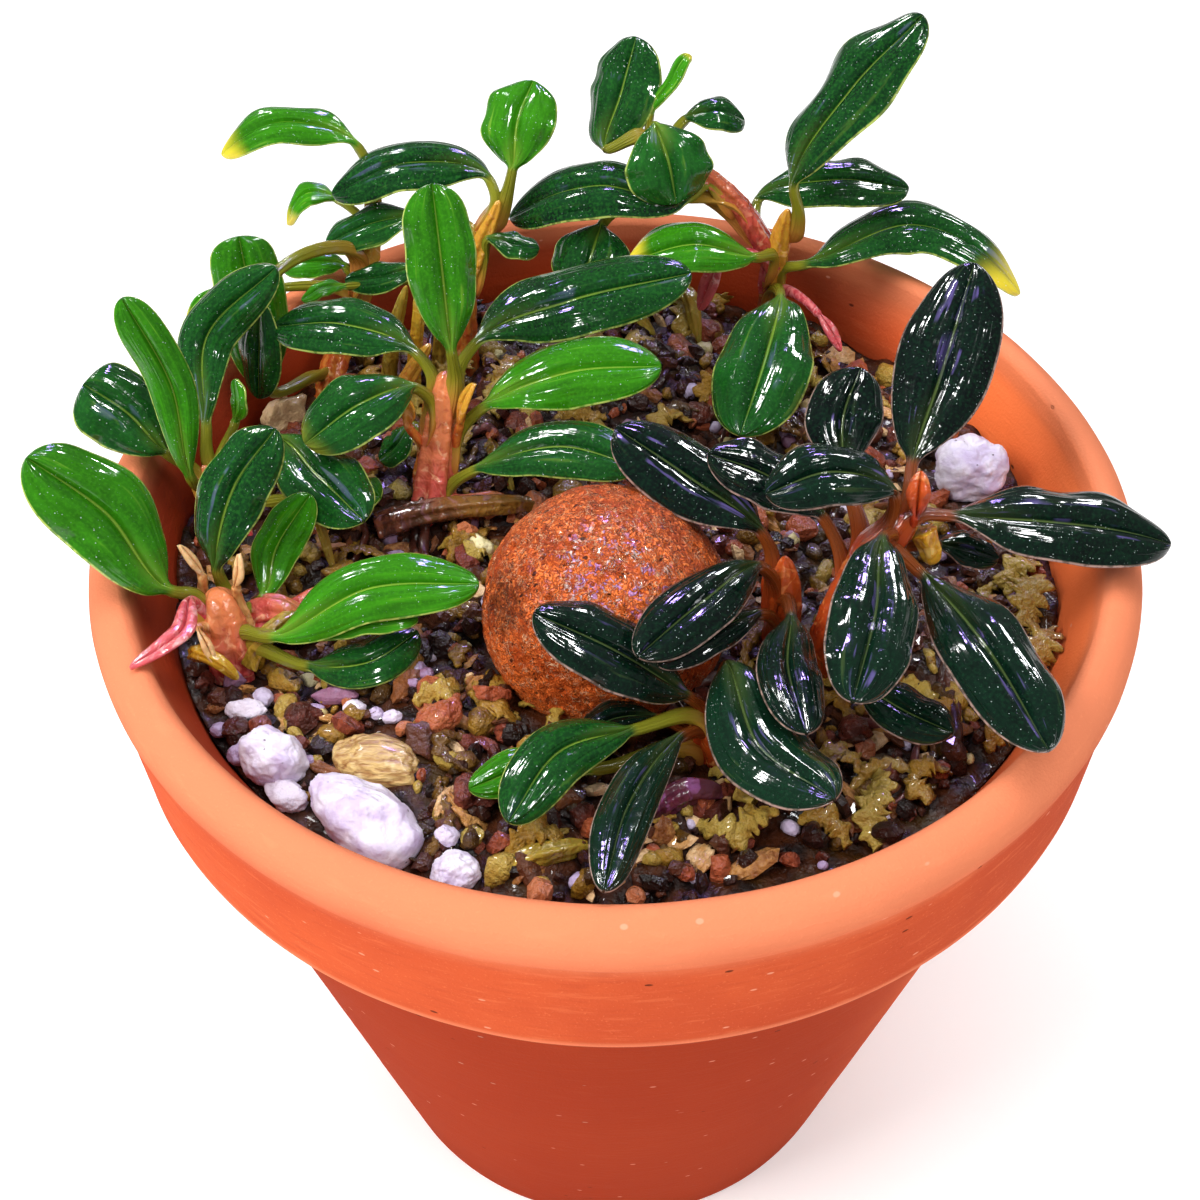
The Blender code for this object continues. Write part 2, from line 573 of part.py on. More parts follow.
def stem_place(stem, run, height):
    """On the stem's centre line at a share of a run: the place, the direction there, the radius and
    the length left above."""
    foot_radius, _, runs = STEMS[stem]
    path = smooth_run(runs[run], 6)
    lengths = path_lengths(path)
    where = height * lengths[-1]
    place = np.array([np.interp(where, lengths, path[:, k]) for k in range(3)])
    step = min(int(np.searchsorted(lengths, where, side="right")) - 1, len(path) - 2)
    radius = foot_radius * (SHOOT_SHARE if run else 1.0) * (1 + (CROWN_SHARE - 1) * height)
    return place, unit(path[step + 1] - path[step]), radius, lengths[-1] - where


def petiole_start(stem, run, height, base):
    """The nearest point to the stem's centre, towards the blade, where the petiole clears the stem:
    outside the stem's side, or above its crown where that is nearer."""
    place, axis, radius, above = stem_place(stem, run, height)
    towards = unit(base - place)
    lift = towards.dot(axis)
    sideways = math.sqrt(max(1.0 - lift ** 2, 1e-6))
    clear = (radius + PETIOLE_GAP + PETIOLE_RADIUS * abs(lift)) / sideways
    if lift > 0:
        clear = min(clear, (above + PETIOLE_GAP + PETIOLE_RADIUS * sideways) / lift)
    return place + clear * towards


def deepened(points):
    """The run with its foot moved two gaps further back along its first stretch."""
    foot, second = np.array(points[0]), np.array(points[1])
    return (tuple(foot - 2 * GAP * unit(second - foot)), *points[1:])


def small_leaf(name, bud, number, cutters):
    """One of the stem's small leaves, its petiole starting inside the stem."""
    run, height, base, tip, arch, bow, width, roll = bud
    inside = stem_place(name, run, height)[0]
    bud_name = f"{name}_bud_{number}"
    mesh = leaf_mesh(bud_name, inside, np.array(base, float), np.array(tip, float), arch, bow, width, roll)
    return mesh_object(bud_name, mesh, cutters)


def make_stems(parts, substrate, cutters):
    """Each stem is its runs and its small leaves joined in one solid, standing in a seat in the soil."""
    for name, (radius, material, runs) in STEMS.items():
        stem = stem_tube(name, runs[0], radius, CROWN_SHARE, parts)
        stem.data.materials.append(finish(material))
        for number, points in enumerate(runs):
            seat_name = f"{name}_seat_{number}"
            seat = stem_tube(seat_name, deepened(points), radius, 1.0, cutters, grow=STEM_SEAT_GAP)
            hide_cutter(seat)
            boolean(substrate, "DIFFERENCE", seat)
        for number, points in enumerate(runs[1:], 1):
            shoot = stem_tube(f"{name}_shoot_{number}", points, SHOOT_SHARE * radius, CROWN_SHARE, cutters)
            hide_cutter(shoot)
            boolean(stem, "UNION", shoot)
        for number, bud in enumerate(BUDS[name], 1):
            small = small_leaf(name, bud, number, cutters)
            hide_cutter(small)
            boolean(stem, "UNION", small)


def make_leaves(parts):
    """Each leaf starts a hair's breadth outside its stem."""
    for stem, leaves in LEAVES.items():
        for name, run, height, base, tip, arch, bow, width, roll, material in leaves:
            base = np.array(base, float)
            start = petiole_start(stem, run, height, base)
            mesh = leaf_mesh(name, start, base, np.array(tip, float), arch, bow, width, roll)
            mesh_object(name, mesh, parts, material)


def main():
    for obj in list(bpy.data.objects):
        bpy.data.objects.remove(obj)
    parts = new_collection(OBJECT_NAME)
    cutters = new_collection("cutters")
    make_pot(parts)
    substrate = make_substrate(parts)
    make_ball(parts, substrate, cutters)
    make_stones(parts, substrate, cutters)
    make_stems(parts, substrate, cutters)
    make_leaves(parts)


if __name__ == "__main__":
    main()
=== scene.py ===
"""Looks of a potted bucephalandra: terracotta, wet substrate, stones, fleshy stems and glossy leaves.

Lengths in the tables and in the shape functions are millimetres, with the origin at the centre of
the pot's foot, +Z up, and the clump seen from -Y. Meshes are put into the scene in metres.
"""

import math
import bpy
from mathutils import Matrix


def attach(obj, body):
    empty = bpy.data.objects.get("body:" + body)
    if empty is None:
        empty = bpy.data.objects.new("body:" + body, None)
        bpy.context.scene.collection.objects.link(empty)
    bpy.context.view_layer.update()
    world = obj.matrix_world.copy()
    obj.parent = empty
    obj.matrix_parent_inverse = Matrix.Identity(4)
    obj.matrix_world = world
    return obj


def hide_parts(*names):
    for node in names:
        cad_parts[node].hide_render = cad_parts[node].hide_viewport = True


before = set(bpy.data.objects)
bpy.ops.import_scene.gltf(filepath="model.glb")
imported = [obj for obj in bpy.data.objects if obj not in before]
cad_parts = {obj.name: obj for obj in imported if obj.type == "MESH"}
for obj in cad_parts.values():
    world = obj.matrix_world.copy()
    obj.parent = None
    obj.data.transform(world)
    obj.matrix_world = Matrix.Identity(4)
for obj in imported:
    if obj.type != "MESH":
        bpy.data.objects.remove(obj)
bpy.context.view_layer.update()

from types import SimpleNamespace

import bpy
import numpy as np
from bpy.props import FloatProperty, FloatVectorProperty, IntProperty, PointerProperty
from mathutils import Vector

bl_info = {
    "name": "Potted bucephalandra",
    "version": (1, 0, 0),
    "blender": (4, 5, 0),
    "location": "3D View > Sidebar > Bucephalandra",
    "description": "Dresses a pot of bucephalandra with leaves, stems, wet substrate, stones and terracotta",
    "category": "Add Mesh",
}

MM = 0.001

# Pot
POT_HEIGHT = 104.0
LIP_RADIUS = 55.0
LIP_ROUND = 3.6
LIP_ARC = (75, -32)
LIP_MOUTH_RADIUS = 50.5
LIP_MOUTH_DEPTH = 2.4
MOUTH_ROUND = 1.6
MOUTH_ARC = (155, 105)
BAND_DEPTH = 20.0
BAND_FOOT_RADIUS = 54.0
BAND_FOOT_ROUND = 0.9
BODY_TOP_RADIUS = 50.6
FOOT_RADIUS = 34.4
FOOT_ROUND = 1.0
WALL_TOP_RADIUS = 48.0
WALL_TOP_DEPTH = 8.0
FLOOR_THICKNESS = 6.0
FLOOR_RADIUS = 30.4
DRAIN_RADIUS = 6.0

# Substrate
SOIL_LEVEL = 95.0
SOIL_GAP = 0.3
SOIL_CROWN = 0.6

# Fired-clay ball
BALL_RADIUS = 12.6
BALL_CENTRE = (-1.0, -13.5, 100.0)

# Loose strips and threads: how far from the pot's axis they may reach
STRIP_REACH = 45.5
PLACED_STRIP_REACH = 46.3

# Stem: a side shoot's share of the main radius, the crown's share of the foot radius, and where the
# dome of the crown starts
SHOOT_SHARE = 0.85
CROWN_SHARE = 0.62
DOME_FROM = 0.7

# Leaf. A petiole's foot and the end of its clasp lie at shares of the stem's radius
PETIOLE_RADIUS = 0.62
SMALL_PETIOLE_SHARE = 0.8
SMALL_LEAF_WIDTH = 4.0
CLASP_LENGTH = 5.5
CLASP_FOOT_AT = 0.5
CLASP_END_AT = 0.66
BLADE_OPENS_BY = 0.12
GROOVE_WIDTH = 0.085
KEEL_WIDTH = 0.14
KEEL_DEPTH = 0.35
EDGE_RIPPLE = 0.025
CURL_FROM = 0.6
FULL_WAVE_WIDTH = 7.0
LEAF_WIDEST_AT = 0.52
LEAF_BASE_POWER = 0.85
LEAF_TIP_POWER = 2.6
LEAF_TIP_ROUND = 0.54
ROLL_SHARE = 0.25
PETIOLE_UV = 0.2

# Points round each surface and along it
POT_ROUND, POT_SPACING = 400, 1.6
SOIL_ROUND, SOIL_RINGS = 380, 130
BALL_GRID = (230, 400)
STONE_GRID = (64, 96)
PLACED_BIT_GRID = (28, 40)
BIT_GRID = (6, 8)
STEM_ROUND, STEM_ROWS = 40, 90
PETIOLE_ROWS, BLADE_ROWS = 18, 52

# Stones: name, CAD node, centre, half sizes, turn in degrees, taper, material
STONES = (
    ("front_pumice", "pumice_front", (-24.0, -37.0, 96.8), (6.6, 3.7, 3.4), -38, 0.34, "pumice"),
    ("left_pumice", "pumice_left", (-33.0, -30.0, 96.6), (3.6, 2.9, 3.2), -30, 0.0, "pumice"),
    ("low_pumice", "pumice_low", (-14.5, -43.0, 96.2), (2.4, 2.1, 2.0), 0, -0.1, "pumice"),
    ("right_pumice", "pumice_right", (39.8, 9.8, 98.0), (4.2, 3.9, 3.9), 0, 0.05, "pumice"),
    ("tan_bark_chip", "bark_chip", (-22.5, -30.5, 96.6), (4.6, 2.6, 1.9), -20, -0.12, "bark"),
)

# Bits with a place of their own: kind, place on the substrate, length, width, height, turn in degrees
# and shade from 0 to 1
PLACED_BITS = (
    ("granule", -41.5, -19.0, 3.2, 2.0, 1.8, 70, 0.2),
    ("grit", -38.8, -17.4, 4.0, 3.0, 2.6, 80, 0.1),
    ("chip", -37.5, -19.6, 2.4, 1.6, 1.0, 10, 0.5),
    ("grit", -35.5, -21.0, 2.3, 2.3, 2.2, 0, 0.6),
    ("grit", -36.7, -23.2, 4.6, 2.6, 2.2, -20, 1.0),
    ("chip", -39.6, -22.4, 3.4, 1.8, 1.0, 20, 0.3),
    ("granule", -34.8, -26.0, 3.0, 3.0, 2.4, 0, 0.35),
    ("granule", -37.4, -26.0, 3.2, 2.6, 2.0, 40, 0.0),
    ("grit", -38.9, -25.6, 2.2, 1.8, 1.6, 0, 0.3),
    ("grit", -36.2, -29.6, 2.6, 2.2, 2.2, 30, 0.4),
    ("moss", -33.6, -19.0, 5.0, 3.6, 2.2, -30, 0.7),
    ("moss", -35.2, -17.0, 3.2, 2.4, 2.0, 20, 0.6),
    ("moss", -32.8, -23.0, 3.8, 2.8, 1.8, 60, 0.8),
    ("moss", -31.8, -25.4, 4.6, 1.8, 1.6, -50, 0.9),
    ("chip", -27.7, -26.4, 7.0, 2.6, 1.3, 18, 0.75),
    ("chip", -28.1, -24.4, 3.8, 1.5, 1.1, -5, 0.6),
    ("grit", -27.6, -21.9, 4.8, 2.2, 1.6, 10, 0.0),
    ("grit", -29.8, -23.2, 1.9, 1.2, 1.2, 0, 0.3),
    ("grit", -25.6, -24.3, 2.4, 1.9, 2.0, -20, 0.9),
    ("grit", -22.0, -19.5, 2.4, 2.1, 2.0, 20, 0.8),
    ("grit", -20.3, -18.3, 2.3, 2.2, 2.0, 40, 0.25),
    ("grit", -19.2, -19.2, 1.9, 1.8, 1.9, 10, 0.1),
    ("grit", -20.5, -21.0, 2.0, 1.5, 1.5, 0, 0.15),
    ("cream", -17.4, -21.6, 3.0, 2.0, 2.2, 60, 0.9),
    ("granule", -17.0, -25.2, 5.6, 4.0, 3.0, 55, 0.75),
    ("granule", -12.9, -22.4, 3.2, 2.8, 2.4, 0, 0.6),
    ("granule", -10.8, -26.2, 3.4, 2.8, 2.4, 80, 0.4),
    ("granule", -12.9, -27.7, 4.8, 1.8, 1.6, -50, 0.25),
    ("granule", -20.4, -26.6, 2.3, 1.8, 1.8, 30, 0.9),
    ("grit", -21.9, -25.4, 2.0, 1.4, 1.4, 0, 0.7),
    ("grit", -23.4, -25.1, 1.5, 1.4, 1.4, 0, 0.5),
    ("chip", -28.3, -30.6, 5.6, 1.8, 1.4, -28, 0.35),
    ("granule", -25.2, -31.6, 1.8, 1.8, 1.4, 0, 0.3),
    ("granule", -30.8, -28.0, 2.4, 2.4, 1.8, 0, 0.3),
    ("grit", -31.2, -33.6, 4.6, 3.4, 2.8, -25, 0.95),
    ("crumb", -18.6, -28.4, 4.6, 3.6, 2.4, -30, 0.9),
    ("moss", -16.2, -30.4, 2.8, 2.4, 2.0, 0, 0.9),
    ("chip", -15.9, -35.2, 4.6, 1.6, 1.6, 75, 0.8),
    ("chip", -14.7, -36.2, 5.0, 1.8, 1.5, -55, 0.55),
    ("granule", -12.2, -35.4, 3.6, 2.4, 1.8, 0, 0.05),
    ("grit", -15.4, -39.8, 2.3, 2.0, 1.9, 0, 0.7),
    ("moss", -13.1, -39.4, 2.6, 2.2, 1.6, 50, 1.0),
    ("granule", -10.5, -39.6, 3.2, 2.6, 2.0, 30, 0.5),
    ("cream", -14.9, -0.9, 4.0, 2.8, 2.4, -30, 0.7),
    ("cream", 11.0, -33.2, 2.2, 1.8, 1.6, 0, 0.2),
    ("chip", 7.9, -41.0, 4.0, 2.8, 1.6, 60, 0.8),
    ("chip", -38.6, 20.3, 5.8, 4.6, 5.4, 50, 1.0),
)

# Toothed strips of moss: where they start, heading in degrees, length, width and shade
PLACED_STRIPS = (
    (24.5, -39.5, 95, 9.0, 3.0, 0.95), (24.4, -31.5, 160, 6.0, 2.4, 0.8), (28.0, -32.5, 20, 5.0, 2.2, 0.6),
    (11.5, -40.5, 60, 6.0, 2.4, 0.85), (13.0, -35.0, 130, 6.0, 2.6, 0.9), (17.0, -37.0, -20, 5.5, 2.4, 0.75),
    (8.0, -36.5, -60, 5.0, 2.2, 0.9), (19.5, -33.5, 70, 5.0, 2.2, 0.5), (36.0, -28.5, 30, 6.0, 2.6, 0.6),
    (43.8, -12.5, 100, 8.0, 4.2, 0.95), (43.6, -19.0, 80, 7.0, 3.6, 0.8), (42.0, -7.0, 60, 6.0, 3.2, 0.9),
    (45.0, -3.0, 110, 5.0, 2.8, 0.5), (39.0, -21.5, -40, 6.0, 2.8, 0.7),
    (4.0, 18.0, 30, 6.0, 3.0, 0.8), (9.0, 36.5, 80, 8.0, 3.4, 0.85), (5.0, 42.5, 60, 6.0, 3.2, 0.8),
    (2.0, 27.0, 100, 7.0, 3.4, 0.75), (10.5, 23.0, 60, 6.0, 3.0, 0.6), (13.5, 42.5, 90, 5.0, 3.0, 0.7),
    (16.0, 16.5, 10, 6.0, 2.8, 0.4), (-7.0, 19.5, 20, 6.5, 3.0, 0.7), (-2.0, 33.0, 120, 7.0, 3.2, 0.85),
    (-31.5, -13.0, 60, 7.0, 3.0, 0.85), (-34.0, -12.0, 20, 6.0, 2.8, 0.75), (-29.0, -8.0, 100, 6.0, 2.6, 0.6),
    (-36.5, -8.0, 70, 6.0, 2.6, 0.9), (-18.0, -3.0, 40, 6.0, 2.4, 0.5), (-10.0, -42.0, 20, 6.0, 2.6, 0.7),
    (-20.0, -24.0, 10, 5.0, 2.2, 0.8), (-26.0, 20.0, 45, 7.0, 3.2, 0.9), (-20.0, 26.0, 90, 7.0, 3.4, 0.85),
    (-13.0, 27.0, 100, 6.0, 3.0, 0.7), (-30.0, 30.0, 60, 6.0, 3.0, 0.6),
)

# Stems: radius at the foot, material, and one or more runs of points from foot to crown. The first
# run is the main stem, and any other is a side shoot
STEMS = {
    "west": (3.0, "pink_stem", (
        ((-39.3, -15.8, 93.0), (-39.2, -15.4, 97.0), (-39.8, -14.2, 100.3), (-40.5, -13.0, 102.5)),
    )),
    "west_back": (1.8, "pink_stem", (
        ((-40.0, 1.0, 93.0), (-43.0, 4.0, 98.0), (-45.0, 6.0, 102.0)),
    )),
    "back_left": (1.7, "orange_stem", (
        ((-35.0, 24.0, 93.0), (-34.0, 28.0, 97.5), (-30.8, 35.5, 103.5), (-28.5, 43.6, 112.6)),
    )),
    "back": (1.8, "orange_stem", (
        ((-19.0, 33.0, 93.0), (-18.0, 35.0, 105.0), (-13.5, 37.0, 115.5)),
    )),
    "middle": (2.5, "pink_stem", (
        ((-21.0, 4.5, 93.0), (-20.0, 7.5, 99.0), (-19.0, 11.0, 105.0), (-18.5, 13.0, 109.5)),
        ((-20.5, 6.0, 96.0), (-17.0, 5.0, 96.2), (-12.0, 6.5, 96.6)),
    )),
    "north": (1.7, "orange_stem", (
        ((19.0, 38.0, 93.0), (19.3, 38.0, 102.0), (19.6, 37.0, 110.0), (20.0, 36.0, 115.0)),
        ((19.4, 37.6, 106.0), (14.0, 39.0, 114.0), (9.0, 40.0, 118.0), (3.8, 41.5, 121.0)),
    )),
    "east": (2.2, "red_stem", (
        ((22.0, -16.0, 93.0), (21.2, -18.5, 101.0), (24.0, -15.0, 108.0), (28.0, -12.5, 112.0)),
    )),
    "east_second": (2.1, "red_stem", (
        ((17.0, -14.0, 93.0), (17.0, -14.8, 101.0), (16.8, -12.5, 106.5)),
    )),
    "east_front": (2.0, "red_stem", (
        ((10.5, -29.0, 93.0), (9.0, -27.5, 97.5), (9.2, -26.0, 100.5)),
    )),
}

# Leaves of each stem: name, run, height up the run from 0 to 1, where the blade starts, its tip, how far
# its midrib arches up and bows to its right, width, roll in degrees, material, youth from 0 to 1
LEAVES = {
    "west": (
        ("west_1", 0, 1.00, (-43.8, -15, 104), (-55.5, -11.5, 118.5), 1, 1, 9.5, 20, "green", 0.5),
        ("west_5", 0, 0.95, (-40.2, -11.4, 103.2), (-34, -2, 114), 1, -1.5, 7.3, -15, "dark", 0.1),
        ("west_6", 0, 0.60, (-36.5, -11.5, 99), (-31.5, -3, 106), -1, -1.5, 5.2, -15, "green", 0.6),
        ("west_8", 0, 0.60, (-34.5, -18, 100.5), (-13.5, -14.5, 104.5), 2.2, -1, 7.2, -20, "green", 0.7),
        ("west_9", 0, 0.45, (-31, -19.5, 98), (-20, -15.5, 98.5), 0, 2, 5.5, -15, "dark", 0.2),
    ),
    "west_back": (
        ("west_2", 0, 1.00, (-48, 4.5, 105), (-56, 7.5, 112), 0.5, 0.5, 9, 20, "dark", 0.3),
        ("west_3", 0, 0.75, (-45, 1.5, 104), (-50, 9, 122), 0, 1.5, 4.8, 15, "green", 0.55),
        ("west_4", 0, 1.00, (-44.5, 8.5, 105), (-36.5, 20, 118), -1, -5.5, 6.5, -15, "dark", 0.2),
        ("west_7", 0, 0.85, (-37, 7.5, 104.5), (-26, -5, 104), 0.5, 0, 8.2, -15, "dark", 0.2),
    ),
    "back_left": (
        ("back_1", 0, 0.20, (-40, 20, 101), (-42, 27.5, 117), 0.5, 0, 7.8, 0, "green", 0.4),
        ("back_2", 0, 1.00, (-30.5, 45.4, 117.2), (-46.8, 45, 118), 2.6, 1, 6, 20, "green", 0.6),
    ),
    "back": (
        ("back_3", 0, 1.00, (-14.5, 39, 116.5), (-33.5, 40.5, 114), 2.5, 1.5, 8, 18, "dark", 0.05),
        ("back_4", 0, 0.80, (-23, 39, 112), (-34.5, 37.5, 109), 1, 0, 6.2, 18, "dark", 0.3),
        ("back_5", 0, 1.00, (-12, 39, 118), (-9.5, 47, 125), 1, -0.5, 9, 0, "green", 0.65),
    ),
    "middle": (
        ("middle_1", 0, 1.00, (-17.5, 12, 112.5), (-19, 20.5, 128), 1, 0, 7.4, 0, "green", 0.45),
        ("middle_2", 0, 0.95, (-21.5, 14.5, 110.5), (-38, 20, 110), 1.8, 0.5, 7.6, 18, "dark", 0.15),
        ("middle_3", 0, 0.85, (-21.5, 10, 109.5), (-32.5, 2.5, 108), 2, -0.5, 8.2, 18, "dark", 0.3),
        ("middle_4", 0, 1.00, (-15.5, 14.5, 111.5), (8.5, 24.5, 114), -1.5, -4, 9.4, -20, "dark", 0.1),
        ("middle_5", 0, 0.60, (-14.5, 9.5, 107), (5, 13, 110), 0.5, -2, 8.6, -20, "green", 0.6),
        ("middle_6", 0, 0.30, (-15.5, 5, 102), (2.5, 0, 107), 1.5, -2, 7.2, -20, "dark", 0.25),
    ),
    "north": (
        ("north_1", 1, 1.00, (-1, 42.5, 119), (2.5, 49, 129.5), 0, 0, 9.4, 10, "dark", 0.15),
        ("north_2", 1, 0.97, (4.5, 40.5, 123), (7, 35.5, 116), 1.5, 0, 10.4, -10, "dark", 0.5),
        ("north_3", 1, 0.60, (9, 38, 115.5), (-12.5, 40, 112.5), 3, -1.5, 8.6, 18, "dark", 0.0),
        ("north_4", 1, 0.40, (-1.5, 37.5, 112), (-4, 31, 107), 0.5, 0, 10, 0, "dark", 0.1),
        ("north_5", 0, 0.70, (16.5, 33.5, 110), (1.5, 32.5, 110), 2.4, -0.5, 7.4, 20, "green", 0.55),
        ("north_6", 0, 1.00, (20.5, 36, 117.5), (34, 43, 135), 1, -1.5, 10, -5, "dark", 0.05),
        ("north_7", 1, 0.20, (17, 42.5, 111.5), (35, 42.5, 113.5), 2.5, 0.5, 7.4, -18, "dark", 0.15),
        ("north_8", 0, 0.60, (22, 35.5, 107.5), (48.5, 34.5, 108), 2, -5.5, 8, -15, "dark", 0.15),
        ("north_9", 0, 0.45, (19.5, 31.5, 106), (14, 12, 101), 1, -0.5, 11, 0, "dark", 0.3),
    ),
    "east": (
        ("east_1", 0, 1.00, (29, -7.5, 113.5), (36.5, 12, 124), -1, 0, 9.8, 0, "black", 0.0),
        ("east_2", 0, 0.75, (23, -5, 111), (25, 4.5, 116.5), 0, -1, 7.8, 0, "black", 0.0),
        ("east_3", 0, 1.00, (26.5, -13, 115), (14, -15, 117), 2.5, 0.5, 7, 18, "black", 0.2),
        ("east_4", 0, 0.65, (20.5, -11, 110), (9, -7, 115), 0.5, 1, 6.6, 18, "black", 0.0),
        ("east_9", 0, 0.95, (25.5, -16, 112.5), (20.5, -36, 112), 0.5, -0.5, 8.2, 10, "black", 0.3),
        ("east_10", 0, 1.00, (32, -12, 111.5), (55, -11.5, 108), 0, -0.5, 8.8, -15, "black", 0.1),
        ("east_11", 0, 0.85, (29, -17, 109), (37.5, -39, 109), 1, -0.5, 8.4, -10, "black", 0.2),
    ),
    "east_second": (
        ("east_5", 0, 1.00, (14.5, -11.5, 108.5), (0, -2, 114), 0.5, 0, 8.4, 15, "black", 0.0),
        ("east_6", 0, 0.85, (14, -15.5, 108), (2, -29, 110), 1, 0, 6.6, 10, "black", 0.05),
        ("east_8", 0, 0.75, (17, -19, 105), (17, -35.5, 107), 0.5, 1, 6, 0, "black", 0.15),
    ),
    "east_front": (
        ("east_7", 0, 1.00, (7, -27, 102), (-7.5, -25.5, 112), 1.5, -0.5, 7.8, 15, "black", 0.1),
        ("east_12", 0, 0.95, (10.5, -24.5, 103.5), (19, -42, 106), -1, 2, 8.4, -10, "black", 0.5),
        ("east_13", 0, 0.70, (6.5, -30, 100), (-1, -51, 105.5), 0.5, 1.5, 5, 10, "black", 0.4),
        ("east_14", 0, 0.85, (2, -30.5, 101.5), (-9.5, -41.5, 102), 1.5, 2, 6.2, 15, "dark", 0.15),
    ),
}

# Small leaves of each stem, in the same terms but with no name, and none has a node of its own
SMALL_LEAVES = {
    "back": (
        (0, 0.60, (-23, 34.5, 108), (-32, 33, 107), 0, -0.5, 4.6, 15, "dark", 0.2),
        (0, 0.70, (-15, 35, 111.5), (-9, 35, 110), 0, 0, 4, -15, "dark", 0.2),
        (0, 0.50, (-31.5, 32, 107.0), (-37.0, 31, 105.6), 0.5, 0.5, 2.4, 15, "green", 0.9),
    ),
    "west": (
        (0, 0.50, (-30.2, -17.8, 100.2), (-19.6, -16.8, 101.8), 1, 0, 3.4, 0, "green", 0.9),
    ),
    "west_back": (
        (0, 0.45, (-33, 5, 98.2), (-25.5, 3, 100), 0, -0.5, 5.5, -15, "green", 0.4),
        (0, 0.90, (-41.0, 8, 106.5), (-40.2, 9, 111.5), 0, 0.5, 3.0, 10, "green", 0.7),
    ),
    "back_left": (
        (0, 0.55, (-44, 31, 107), (-50, 27.5, 107), 0.5, 0.5, 2, 0, "green", 1.0),
        (0, 0.70, (-39.0, 21, 113.5), (-40.6, 17.5, 102.0), 0.5, 0, 5.6, 0, "dark", 0.1),
        (0, 0.85, (-33.5, 43.3, 111.5), (-39.7, 42.5, 110.5), 1.5, 0.5, 3.8, 18, "green", 1.0),
        (0, 0.60, (-32.5, 37.5, 105.8), (-40.2, 37.2, 106), 0.8, 0, 4.4, 18, "green", 0.6),
    ),
    "middle": (
        (0, 0.50, (-22.5, 12, 102.5), (-26.5, 11, 98.5), 0, -0.5, 4.2, 15, "dark", 0.3),
    ),
    "north": (
        (1, 1.00, (4, 43, 123), (8.5, 45, 131), 0, 0.5, 2.6, 0, "green", 1.0),
        (1, 0.90, (8, 43.5, 122), (15, 45, 121), 1.5, 0.5, 5.4, -15, "dark", 0.15),
    ),
    "east": (
        (0, 0.35, (23.5, -24, 101), (31.5, -31, 101.5), 0, 0.5, 5.4, -15, "black", 0.2),
        (0, 0.75, (32, -11, 106.5), (38.5, -11, 104.5), 0, -0.5, 4.2, -15, "black", 0.2),
    ),
    "east_second": (
        (0, 0.50, (14, -19, 105), (4, -27, 106.5), 1, 0, 4.6, 10, "black", 0.0),
    ),
    "east_front": (
        (0, 0.50, (4, -27.3, 99.3), (-3, -30, 100.5), 0.5, 0.5, 4, 15, "black", 0.1),
        (0, 0.40, (-2, -32.5, 98), (-13.5, -36, 99.5), 0.5, 1, 4.6, 15, "green", 0.6),
    ),
}

# Pink and red sheaths that wrap the stems, in the same terms: stem, run, height, base, tip, arch, bow,
# width, material
SHEATHS = (
    ("west", 0, 0.90, (-42.0, -15.3, 103.0), (-45.8, -25.6, 104.5), 0.8, -2.2, 2.5, "pink_sheath"),
    ("west", 0, 0.90, (-41.5, -12.5, 103.6), (-43.2, -12.0, 107.5), 0.3, 0, 1.3, "husk_sheath"),
    ("west", 0, 0.85, (-38.0, -13.5, 103.0), (-37.2, -12.5, 106.8), 0.3, 0.4, 1.5, "husk_sheath"),
    ("west", 0, 0.70, (-41.5, -17.2, 101.0), (-40.0, -19.5, 98.0), 0.4, 0, 1.2, "husk_sheath"),
    ("north", 0, 0.65, (13, 36.5, 108), (10.3, 34.8, 101.5), 0.5, 0, 3.2, "pink_sheath"),
    ("north", 0, 0.45, (24, 30.8, 104), (26.8, 28, 100.5), 0.3, 0, 1.9, "pink_sheath"),
    ("east", 0, 0.95, (28.8, -13.3, 112.5), (29.2, -10.5, 116), 0.3, 0, 2.4, "red_stem"),
    ("middle", 0, 0.55, (-22.5, 8.5, 105.5), (-23, 8, 111), 0.5, 0, 3.0, "orange_stem"),
    ("middle", 0, 0.50, (-17, 9, 105), (-15, 9.5, 110.5), 0.5, 0, 2.8, "orange_stem"),
)

